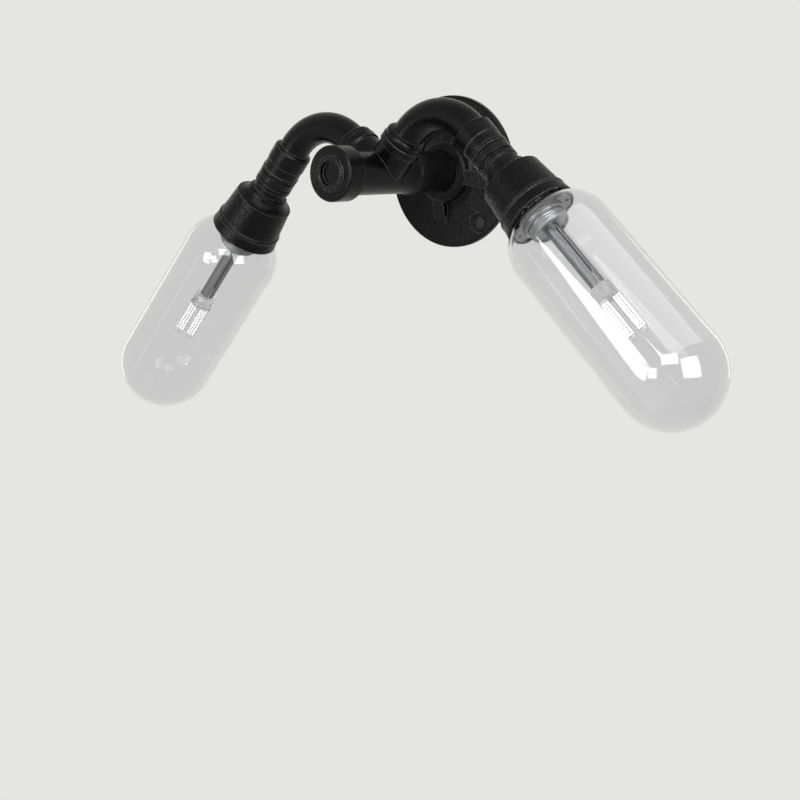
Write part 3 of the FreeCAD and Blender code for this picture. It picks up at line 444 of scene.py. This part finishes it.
class PIPELIGHT_OT_castings(Operator):
    """Paint the cast and turned fittings satin black."""
    bl_idname = "pipelight.castings"
    bl_label = "Black fittings"

    FINER = 0.8

    def execute(self, context):
        grain = context.scene.pipelight_castings.grain
        # grey iron from a sand mould: a bold pebble that breaks the light into specks
        cast = black_iron("sand_cast_iron_black", grain)
        dress_nodes(cast, "wall_flange", *both("bell"))
        # finer cast iron: a shallow pebble and a longer, softer light
        smooth = black_iron("fine_cast_iron_black", grain * self.FINER, rough=0.24, sheen=0.13,
                            depth=0.2)
        dress_nodes(smooth, "side_outlet_tee", "front_cap", *both("elbow"))
        # turned steel: nearly smooth, with crisp edges
        turned = black_iron("turned_steel_black", 1.2, "#080808", "#0c0c0c", rough=0.21,
                            edge=0.4, sheen=0.13, depth=0.12)
        dress_nodes(turned, "wall_neck", *both("drop_nipple", "swivel_collar"))
        return {"FINISHED"}


class PIPELIGHT_OT_metalwork(Operator):
    """Give the small metal, ceramic and rubber pieces their finishes."""
    bl_idname = "pipelight.metalwork"
    bl_label = "Metal and wiring"

    def execute(self, context):
        # zinc plate over steel: grey and softly bright
        steel = bright_metal("zinc_plated_steel", "#a9aaab", "#8c8d8e", 0.4)
        dress_nodes(steel, "block_screws", *both(
            "outlet_nipple", "bell_nut", "bridge", "stem_nut", "bulb_pins"))
        # rolled strip, left as it came from the mill: darker and duller
        rolled = bright_metal("rolled_steel_tube", "#88898a", "#787979", 0.5)
        dress_nodes(rolled, *both("stem"))
        # aluminium alloy, turned: pale, with a tighter highlight
        alloy = bright_metal("turned_light_alloy", "#a6a7a8", "#8f9091", 0.36)
        dress_nodes(alloy, *both("lamp_holder", "bridge_ring"))
        # bare brass: warm and yellow
        brass = bright_metal("plain_brass", "#c9a75c", "#a98a45", 0.3)
        dress_nodes(brass, "terminal_screws", "earth_screw")
        # steatite, pressed and fired without a glaze: chalky and warm white
        ceramic = plain_solid("unglazed_steatite", "#e6e1d6", "#d6d0c4", 0.6, 0.5, 0.05)
        dress_nodes(ceramic, "terminal_block", *both("lamp_socket"))
        # silicone sleeving, extruded: dark and slightly waxy
        sleeve = plain_solid("silicone_insulation", "#2c2c2d", "#222223", 0.5, 0.8, 0.03)
        dress_nodes(sleeve, *both("supply_lead", "arm_lead", "stem_wires"))
        # rubber, moulded: matt dark grey
        gasket = plain_solid("moulded_rubber", "#3b3b3b", "#2f2f2f", 0.7, 0.4, 0.04)
        dress_nodes(gasket, *both("gasket"))
        return {"FINISHED"}


class PIPELIGHT_OT_shades(Operator):
    """Blow the two glass shades."""
    bl_idname = "pipelight.shades"
    bl_label = "Glass shades"

    NECK_WALL = 1.4 * MM
    LIP = 0.7 * MM  # round on both edges of the neck's open end
    NECK_TOP = 1.2 * MM  # below the neck's open end, where its straight walls start
    NECK_LOW, BORE_LOW = 0.2 * MM, 1.0 * MM  # where they end, above the bell's rim
    FLARE, DROP = 0.6 * MM, 1.0 * MM  # out from the neck and below the rim: the shoulder's start
    LIP_STEPS, NECK_STEPS, SHOULDER_STEPS, BARREL_STEPS, END_STEPS = 6, 5, 28, 24, 40
    AROUND = 144

    def profile(self, size):
        """Outer wall from the neck to the tip, then the inner wall back, as (radius, height).

        The shoulder is an arc that meets the barrel tangentially, of radius
        (across^2 + along^2) / (2 across), and less by the wall inside; the end is half round."""
        wide, wall, neck = size.radius, size.wall, size.neck
        bore = neck - self.NECK_WALL
        rise, low = -size.shoulder, -size.barrel
        lip_low, straight = size.depth - self.LIP, size.depth - self.NECK_TOP

        across, along = wide - neck - self.FLARE, -self.DROP - rise
        round_outside = (across ** 2 + along ** 2) / (2.0 * across)
        round_inside = round_outside - wall
        middle = wide - round_outside
        first_outside = math.degrees(math.asin(along / round_outside))
        first_inside = math.degrees(math.acos((bore - middle) / round_inside))

        lip = arc((neck - self.LIP, lip_low), self.LIP, 90.0, 0.0, self.LIP_STEPS)
        lip_in = arc((bore + self.LIP, lip_low), self.LIP, 180.0, 90.0, self.LIP_STEPS)
        shoulder = arc((middle, rise), round_outside, first_outside, 0.0, self.SHOULDER_STEPS)
        shoulder_in = arc((middle, rise), round_inside, first_inside, 0.0, self.SHOULDER_STEPS)
        outer = np.concatenate([
            lip, line((neck, straight), (neck, self.NECK_LOW), self.NECK_STEPS), shoulder,
            line((wide, rise), (wide, low), self.BARREL_STEPS)[1:],
            arc((0.0, low), wide, 0.0, -90.0, self.END_STEPS)[1:]])
        inner = np.concatenate([
            arc((0.0, low), wide - wall, -90.0, 0.0, self.END_STEPS),
            line((wide - wall, low), (wide - wall, rise), self.BARREL_STEPS)[1:],
            shoulder_in[::-1][1:],
            line((bore, self.BORE_LOW), (bore, straight), self.NECK_STEPS), lip_in[:-1]])
        return np.concatenate([outer, inner])

    def mark_inner_wall(self, shade, lamp, size):
        """Second material on faces whose normal points at the axis or at the ball's centre."""
        mesh = shade.data
        count = len(mesh.polygons)
        middle, normal = np.empty(count * 3, np.float32), np.empty(count * 3, np.float32)
        mesh.polygons.foreach_get("center", middle)
        mesh.polygons.foreach_get("normal", normal)
        away = middle.reshape(-1, 3) - lamp.origin
        height = np.maximum(away @ lamp.z, -size.barrel)
        away = away - height[:, None] * lamp.z
        inner = (away * normal.reshape(-1, 3)).sum(1) < 0.0
        mesh.polygons.foreach_set("material_index", inner.astype(np.int32))
        mesh.update()

    def execute(self, context):
        size = context.scene.pipelight_shade
        # soda-lime glass, blown: clear, slowly uneven, and warm where it is seen edge on
        glass = {"tint": "#eeeeef", "edge_tint": "#fff7e4", "wave": 26.0, "wave_depth": 0.06,
                 "back_shine": "#6c6c6c"}
        outside = clear_glass("blown_soda_lime_glass", **glass)
        # its inner wall is dulled by a bloom, so mirror images in it are fainter
        inside = clear_glass("soda_lime_glass_bloomed", shine="#6c6c6c", **glass)
        both_walls = self.profile(size)
        for side, lamp in LAMPS.items():
            sheet = lathe(both_walls, lamp.origin, lamp.x, lamp.y, lamp.z, self.AROUND,
                          closed=True)
            shade = surface("shade_glass_" + side, [sheet], sharp=60.0)
            dress(shade, outside)
            shade.data.materials.append(inside)
            self.mark_inner_wall(shade, lamp, size)
            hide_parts("glass_shade_" + side)
            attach(shade, "shade_" + side)
        return {"FINISHED"}


class PIPELIGHT_OT_threads(Operator):
    """Cut the thread on each lamp holder below the bridge."""
    bl_idname = "pipelight.threads"
    bl_label = "Holder threads"

    PITCH, CREST, ROOT = 1.9 * MM, 15.55 * MM, 14.85 * MM
    TOP, LOW = -6.3 * MM, -13.2 * MM
    WALL = 0.4 * MM
    ROWS, AROUND = 90, 97

    def skin(self):
        """Radius = root + (crest - root) * the wave's square root * fade, over a plain back.

        The wave turns with height / pitch - angle / turn, and fades out in half a pitch."""
        height = np.linspace(self.LOW, self.TOP, self.ROWS)
        angle = np.linspace(0.0, TURN, self.AROUND)
        h, a = np.meshgrid(height, angle, indexing="ij")
        wave = swell(TURN * (h / self.PITCH - a / TURN))
        fade = np.clip(np.minimum(h - self.LOW, self.TOP - h) / (0.5 * self.PITCH), 0.0, 1.0)
        radius = self.ROOT + (self.CREST - self.ROOT) * np.sqrt(wave) * fade
        back = polar(self.ROOT - self.WALL, a, h)
        return np.concatenate([polar(radius, a, h), back[::-1]])

    def execute(self, context):
        alloy = bpy.data.materials["turned_light_alloy"]
        skin = self.skin()
        faces = grid_faces(len(skin), self.AROUND, True, False)
        for side, lamp in LAMPS.items():
            points = place(skin, lamp.origin, lamp.x, lamp.y, lamp.z)
            thread = surface("holder_thread_" + side, [(points, faces)])
            dress(thread, alloy)
            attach(thread, "lamp_" + side)
        return {"FINISHED"}


class PIPELIGHT_OT_bulbs(Operator):
    """Mould the capsule bulbs: ribbed base, two fingers and rows of lit chips."""
    bl_idname = "pipelight.bulbs"
    bl_label = "Capsule bulbs"

    TOP_ROUND, LOW_ROUND = 2.0 * MM, 0.8 * MM  # the moulded base's edges
    RIBS, RIB_DEPTH, RIB_STEPS = 4, 0.55 * MM, 61
    FACETS, FACET_DEPTH = 14, 0.18 * MM
    FACET_TWIST, FACET_START = 900.0, 1.0 * MM  # radians a metre; radius past which they start
    BASE_AROUND, FINGER_AROUND = 112, 40
    FINGER_WALL, FINGER_GAP, FINGER_STEPS, END_STEPS = 0.7 * MM, 0.05 * MM, 12, 14
    BOARD_HALF, BOARD_THIN, BOARD_GAP = 2.9 * MM, 0.5 * MM, 0.1 * MM
    CHIP_HALVES = (0.6 * MM, 0.75 * MM, 0.85 * MM)  # through the board, across and along it
    CHIP_LIFT, ROW_APART = 0.95 * MM, 2.1 * MM
    FIRST_CHIP, CHIP_MARGIN = 1.4 * MM, 2.4 * MM
    CHIP_AROUND, CHIP_RINGS = 12, 7

    def ribbed_base(self, size):
        """Height falls evenly; radius is the base's, less four soft grooves round it."""
        top, low, wide = -size.foot, -size.foot - size.base, size.radius
        upper, lower = top - self.TOP_ROUND, low + self.LOW_ROUND
        side_wall = line((wide, upper), (wide, lower), self.RIB_STEPS)
        share = np.linspace(0.0, 1.0, self.RIB_STEPS)
        side_wall[:, 0] -= self.RIB_DEPTH * swell(TURN * self.RIBS * share)
        return np.concatenate([
            [(0.0, top)],
            arc((wide - self.TOP_ROUND, upper), self.TOP_ROUND, 90.0, 0.0, 8)[:-1], side_wall,
            arc((wide - self.LOW_ROUND, lower), self.LOW_ROUND, 0.0, -90.0, 6)[1:],
            [(0.0, low)]])

    def crackle(self, radius, height, angle):
        """Radius less a shallow facet, 14 round the base, twisting with height."""
        return radius - self.FACET_DEPTH * (radius > self.FACET_START) * swell(
            self.FACETS * angle + self.FACET_TWIST * height)

    def finger(self, size):
        """A thin tube closed by a half-round end, outer wall then inner wall."""
        top, wide = -size.foot - size.base - self.FINGER_GAP, size.finger
        end = top - size.length + wide
        inner = wide - self.FINGER_WALL
        return np.concatenate([
            line((wide, top), (wide, end), self.FINGER_STEPS),
            arc((0.0, end), wide, 0.0, -90.0, self.END_STEPS)[1:],
            arc((0.0, end), inner, -90.0, 0.0, self.END_STEPS),
            line((inner, end), (inner, top), self.FINGER_STEPS)[1:]])

    def board(self, size, centre, x, y, z):
        """A flat board: four upright edges, closed by a fan at each end."""
        half, thin = self.BOARD_HALF, self.BOARD_THIN
        top = -size.foot - size.base - self.BOARD_GAP
        low = top - size.length + size.finger
        ring = np.array([(-thin, -half), (thin, -half), (thin, half), (-thin, half)])
        rows = [np.column_stack([ring * share, np.full(4, height)])
                for share, height in ((0.0, low), (1.0, low), (1.0, top), (0.0, top))]
        return place(np.array(rows), centre, x, y, z), grid_faces(4, 4, False, True)

    def chip(self):
        """A rounded block: the fourth-power ball, x^4 + y^4 + z^4 = 1, scaled to its halves."""
        v = np.linspace(-0.5 * math.pi, 0.5 * math.pi, self.CHIP_RINGS)
        v, u = np.meshgrid(v, once_round(self.CHIP_AROUND), indexing="ij")
        ball = polar(np.cos(v), u, np.sin(v))
        size = (np.abs(ball) ** 4).sum(-1, keepdims=True) ** (-1.0 / 4.0)
        return (ball * size * np.asarray(self.CHIP_HALVES),
                grid_faces(self.CHIP_RINGS, self.CHIP_AROUND, False, True))

    def chip_rows(self, size, centre, x, y, z):
        """Three rows of chips on each face of a board, evenly pitched along it."""
        chip, faces = self.chip()
        number = np.arange(size.chips)
        start = size.foot + size.base + self.FIRST_CHIP
        pitch = (size.length - size.finger - self.CHIP_MARGIN) / (size.chips - 1)
        offsets = (number * chip.shape[0] * chip.shape[1])[:, None, None]
        faces = (faces[None] + offsets).reshape(-1, 4)
        rows = []
        for face, across in ((f, a) for f in (-1.0, 1.0) for a in (-1.0, 0.0, 1.0)):
            spots = np.zeros((len(number), 1, 1, 3))
            spots[..., 0] = face * self.CHIP_LIFT
            spots[..., 1] = across * self.ROW_APART
            spots[..., 2] = -(start + number * pitch)[:, None, None]
            rows.append((place(chip[None] + spots, centre, x, y, z), faces))
        return rows

    def execute(self, context):
        size = context.scene.pipelight_bulb
        # borosilicate, pressed in a ribbed mould: wavy and greyish
        moulded = clear_glass("moulded_borosilicate", "#dededd", "#c6c6c4", 1.9, 2.6)
        # borosilicate tube, drawn: even and clear
        drawn = clear_glass("drawn_borosilicate", "#fdfdfd", "#ececea", 4.0, 0.15, clear=0.97)
        lit = glowing_chip("lit_phosphor", "#ffffff", size.glow)
        # resin laminate: matt grey, so that the lit chips stand out as dots
        laminate = plain_solid("light_strip_board", "#777775", "#6a6a68", 0.5, 0.6, 0.02)
        for side, lamp in LAMPS.items():
            x, y = lamp.turned(BULB_TURN)
            sheet = lathe(self.ribbed_base(size), lamp.origin, x, y, lamp.z, self.BASE_AROUND,
                          self.crackle)
            base = surface("bulb_foot_" + side, [sheet], sharp=70.0)
            dress(base, moulded)
            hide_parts("bulb_base_" + side)
            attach(base, "bulb_" + side)
            tubes, chips, boards = [], [], []
            for sign in (-0.5, 0.5):
                centre = lamp.origin + y * (size.spacing * sign)
                tubes.append(lathe(self.finger(size), centre, x, y, lamp.z, self.FINGER_AROUND,
                                   closed=True))
                boards.append(self.board(size, centre, x, y, lamp.z))
                chips += self.chip_rows(size, centre, x, y, lamp.z)
            tube = surface("bulb_tubes_" + side, tubes, sharp=50.0)
            dress(tube, drawn)
            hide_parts("bulb_fingers_" + side)
            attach(tube, "bulb_" + side)
            strips = surface("strip_boards_" + side, boards)
            dress(strips, laminate)
            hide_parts("bulb_strips_" + side)
            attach(strips, "bulb_" + side)
            lights = surface("light_chips_" + side, chips, sharp=60.0)
            dress(lights, lit)
            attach(lights, "bulb_" + side)
        return {"FINISHED"}


class PIPELIGHT_OT_screws(Operator):
    """Set the two flange screws, each with a cross recess in its head."""
    bl_idname = "pipelight.screws"
    bl_label = "Flange screws"

    HEAD, HEAD_TOP, DOME = 4.25 * MM, 5.75 * MM, 11.0 * MM
    RECESS_REACH, RECESS_END = 2.5 * MM, 0.5 * MM
    RECESS_HALF, RECESS_SLOPE, RECESS_DEPTH = 0.62 * MM, 0.18 * MM, 1.1 * MM
    # share of the head's radius, and height in millimetres: rim, underside, shank, point
    RINGS = ((1.0, 4.5), (0.54, 2.4), (0.46, 0.0), (0.46, -12.3), (0.28, -13.0), (0.0, -13.0))
    STEPS, AROUND = 40, 96
    CIRCLE, PLACES = 52.5 * MM, (-57.5, 122.5)  # degrees round the flange

    def skin(self):
        """Height of the domed head: top - r^2 / 2R, less a cross-shaped recess; then the rings."""
        radius = np.linspace(0.0, 1.0, self.STEPS) * self.HEAD
        r, a = np.meshgrid(radius, once_round(self.AROUND), indexing="ij")
        px, py = r * np.cos(a), r * np.sin(a)
        dome = self.HEAD_TOP - r ** 2 / (2.0 * self.DOME)
        slot = np.minimum(np.abs(px), np.abs(py))
        reach = np.clip((self.RECESS_REACH - r) / self.RECESS_END, 0.0, 1.0)
        cross = np.clip((self.RECESS_HALF - slot) / self.RECESS_SLOPE, 0.0, 1.0) * reach
        rings = [np.stack([share * px[-1], share * py[-1], np.full(self.AROUND, height * MM)], -1)
                 for share, height in self.RINGS]
        return np.concatenate([np.stack([px, py, dome - self.RECESS_DEPTH * cross], -1), rings])

    def execute(self, context):
        # steel under black oxide: dark, with a harder shine than the paint's
        oxide = black_iron("black_oxide_steel", 0.4, "#121212", "#1c1c1c", rough=0.36,
                           edge=0.2, sheen=0.3)
        skin = self.skin()
        faces = grid_faces(len(skin), self.AROUND, False, True)
        sheets = []
        for turn in self.PLACES:
            c, s = math.cos(math.radians(turn)), math.sin(math.radians(turn))
            tilt = math.radians(turn * 1.7 + 20.0)  # each screw stops at an angle of its own
            x = np.array([math.cos(tilt), 0.0, math.sin(tilt)])
            origin = np.array([self.CIRCLE * c, 0.0, self.CIRCLE * s])
            sheets.append((place(skin, origin, x, np.cross(OUTWARDS, x), OUTWARDS), faces))
        screws = surface("cross_head_screws", sheets, sharp=40.0)
        dress(screws, oxide)
        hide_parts("flange_screws")
        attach(screws, "base")
        return {"FINISHED"}


class PIPELIGHT_OT_stage(Operator):
    """Lay the pale floor, light the object softly and set the camera."""
    bl_idname = "pipelight.stage"
    bl_label = "Stage"

    AZIMUTH, ROLL = 36.74, 3.45
    EYE = (0.72416, -0.90506, -0.03725)
    AHEAD = (-0.5982, 0.8014, -0.0023)
    LENS, SENSOR, SHIFT = 62.15, 36.0, (-0.1284, -0.2300)
    # degrees right of and above the camera, width and height in metres, watts, degrees of lean
    SOFTBOXES = (
        ("left_window", -50.5, 1.5, 0.46, 0.66, 9.0, 19.5),
        ("left_fanlight", -44.5, 14.3, 0.42, 0.15, 1.9, -8.0),
        ("left_strip", -80.0, -2.0, 0.03, 0.9, 0.2, 20.0),
        ("left_softbox", -31.0, 1.5, 0.47, 0.5, 6.5, 0.0),
        ("top_softbox", 2.0, 25.0, 0.8, 0.5, 12.5, 0.0),
        ("right_softbox", 38.0, 7.0, 0.85, 0.85, 20.0, 0.0),
        ("high_softbox", 48.0, 52.0, 1.9, 0.7, 9.0, 0.0),
        ("left_rim", -138.0, 5.0, 0.2, 1.0, 0.34, 0.0),
        ("right_rim", 138.0, 5.0, 0.2, 1.0, 0.34, 0.0),
    )
    LAMP_DISTANCE, LAMP_TARGET = 1.5, (0.0, -0.1, -0.05)
    FLOOR_RADIUS, FLOOR_RINGS, FLOOR_AROUND = 4.0, 9, 96
    MELT_START, MELT_END = 0.3, 0.95

    def level(self):
        """The level direction to the camera's right."""
        turn = math.radians(self.AZIMUTH)
        return Vector((math.cos(turn), math.sin(turn), 0.0))

    def camera(self, scene):
        """Stand the camera at the photograph's eye, rolled as it was."""
        data = bpy.data.cameras.new("camera")
        data.lens, data.sensor_width = self.LENS, self.SENSOR
        data.shift_x, data.shift_y = self.SHIFT
        camera = bpy.data.objects.new("camera", data)
        scene.collection.objects.link(camera)
        back = -Vector(self.AHEAD).normalized()
        above = back.cross(self.level()).normalized()
        level = above.cross(back).normalized()
        roll = math.radians(self.ROLL)
        right = level * math.cos(roll) - above * math.sin(roll)
        over = level * math.sin(roll) + above * math.cos(roll)
        matrix = camera.matrix_world.copy()
        for row in range(3):
            matrix[row][:] = right[row], over[row], back[row], self.EYE[row]
        camera.matrix_world = matrix
        scene.camera = camera

    def softbox(self, scene, name, across, above, width, height, power, lean):
        """A lamp seen from the object at degrees right of and above the camera.

        Lean turns it about its own axis, its top towards the camera's right."""
        toward = -Vector(self.AHEAD).normalized()
        a, b = math.radians(across), math.radians(above)
        way = (toward * math.cos(a) + self.level() * math.sin(a)) * math.cos(b) + Vector(
            (0, 0, 1)) * math.sin(b)
        data = bpy.data.lights.new(name, "AREA")
        data.shape = "RECTANGLE"
        data.size, data.size_y, data.energy = width, height, power
        lamp = bpy.data.objects.new(name, data)
        lamp.location = Vector(self.LAMP_TARGET) + way * self.LAMP_DISTANCE
        lamp.rotation_euler = (way.to_track_quat("Z", "Y")
                               @ Quaternion((0.0, 0.0, 1.0), math.radians(-lean))).to_euler()
        scene.collection.objects.link(lamp)

    def rays_that_see(self, tree):
        """1 for the eye's rays and for those that polished metal and glass send on."""
        path = add(tree, "ShaderNodeLightPath")
        first = add(tree, "ShaderNodeMath", {"operation": "MAXIMUM"},
                    {0: path.outputs["Is Camera Ray"], 1: path.outputs["Is Transmission Ray"]})
        both_kinds = add(tree, "ShaderNodeMath", {"operation": "MAXIMUM"},
                         {0: first.outputs[0], 1: path.outputs["Is Glossy Ray"]})
        return both_kinds.outputs[0]

    def backdrop(self, scene, pale, sky):
        """The world: even light for the object, the pale tone for what the eye sees of it."""
        world = bpy.data.worlds.new("pale_studio")
        world.use_nodes = True
        tree = world.node_tree
        tree.nodes.clear()
        seen = self.rays_that_see(tree)
        light = add(tree, "ShaderNodeBackground",
                    inputs={"Color": (1.0, 1.0, 1.0, 1.0), "Strength": sky})
        shown = add(tree, "ShaderNodeBackground", inputs={"Color": pale, "Strength": 1.0})
        mix = add(tree, "ShaderNodeMixShader", inputs={
            0: seen, 1: light.outputs[0], 2: shown.outputs[0]})
        add(tree, "ShaderNodeOutputWorld", inputs={"Surface": mix.outputs[0]})
        scene.world = world

    def floor(self, scene, pale, height):
        """A round painted floor, matt and pale, whose edge melts into the backdrop."""
        radius = np.linspace(0.0, self.FLOOR_RADIUS, self.FLOOR_RINGS)
        r, a = np.meshgrid(radius, once_round(self.FLOOR_AROUND), indexing="ij")
        points = polar(r, a, np.full(r.shape, height))
        faces = grid_faces(self.FLOOR_RINGS, self.FLOOR_AROUND, False, True)
        ground = surface("pale_floor", [(points, faces)])
        if ground.data.polygons[0].normal.z < 0:
            ground.data.flip_normals()
        material, tree, shader = fresh("painted_floor", Roughness=0.9, Base_Color=pale)
        spot = add(tree, "ShaderNodeTexCoord")
        away = add(tree, "ShaderNodeVectorMath", {"operation": "LENGTH"},
                   {0: spot.outputs["Object"]})
        edge = add(tree, "ShaderNodeMapRange", {"interpolation_type": "SMOOTHSTEP"}, {
            "Value": away.outputs["Value"], "From Min": self.MELT_START,
            "From Max": self.MELT_END})
        share = add(tree, "ShaderNodeMath", {"operation": "MULTIPLY"},
                    {0: self.rays_that_see(tree), 1: edge.outputs["Result"]})
        glow = add(tree, "ShaderNodeEmission", inputs={"Color": pale, "Strength": 1.0})
        mix = add(tree, "ShaderNodeMixShader", inputs={
            0: share.outputs[0], 1: shader.outputs[0], 2: glow.outputs[0]})
        out = next(n for n in tree.nodes if n.type == "OUTPUT_MATERIAL")
        tree.links.new(mix.outputs[0], out.inputs["Surface"])
        dress(ground, material)

    def execute(self, context):
        scene = context.scene
        stage = scene.pipelight_stage
        pale = tuple(stage.pale)
        scene.view_settings.view_transform = "Standard"
        self.camera(scene)
        self.backdrop(scene, pale, stage.sky)
        self.floor(scene, pale, stage.floor)
        for softbox in self.SOFTBOXES:
            self.softbox(scene, *softbox)
        return {"FINISHED"}


class PIPELIGHT_PT_panel(Panel):
    """The light's pieces and their sizes."""
    bl_idname = "PIPELIGHT_PT_panel"
    bl_label = "Pipe wall light"
    bl_space_type = "VIEW_3D"
    bl_region_type = "UI"
    bl_category = "Pipe Light"

    def draw(self, context):
        scene = context.scene
        for group, operators in GROUPS:
            box = self.layout.box()
            if group:
                settings = getattr(scene, group)
                for key in settings.__annotations__:
                    box.prop(settings, key)
            for operator in operators:
                box.operator(operator.bl_idname)


GROUPS = (
    ("pipelight_castings", (PIPELIGHT_OT_castings,)),
    ("", (PIPELIGHT_OT_metalwork, PIPELIGHT_OT_threads, PIPELIGHT_OT_screws)),
    ("pipelight_shade", (PIPELIGHT_OT_shades,)),
    ("pipelight_bulb", (PIPELIGHT_OT_bulbs,)),
    ("pipelight_stage", (PIPELIGHT_OT_stage,)),
)
SETTINGS = {
    "pipelight_castings": PIPELIGHT_PG_castings,
    "pipelight_shade": PIPELIGHT_PG_shade,
    "pipelight_bulb": PIPELIGHT_PG_bulb,
    "pipelight_stage": PIPELIGHT_PG_stage,
}
CLASSES = (*SETTINGS.values(), PIPELIGHT_OT_castings, PIPELIGHT_OT_metalwork,
           PIPELIGHT_OT_shades, PIPELIGHT_OT_threads, PIPELIGHT_OT_bulbs, PIPELIGHT_OT_screws,
           PIPELIGHT_OT_stage, PIPELIGHT_PT_panel)


def register():
    for cls in CLASSES:
        bpy.utils.register_class(cls)
    for name, cls in SETTINGS.items():
        setattr(bpy.types.Scene, name, PointerProperty(type=cls))


def unregister():
    for name in SETTINGS:
        delattr(bpy.types.Scene, name)
    for cls in reversed(CLASSES):
        bpy.utils.unregister_class(cls)


def main():
    """Make every piece in order."""
    register()
    for group, operators in GROUPS:
        for operator in operators:
            kind, name = operator.bl_idname.split(".")
            if getattr(getattr(bpy.ops, kind), name)() != {"FINISHED"}:
                raise RuntimeError(operator.bl_idname + " didn't finish")


if __name__ == "__main__":
    main()
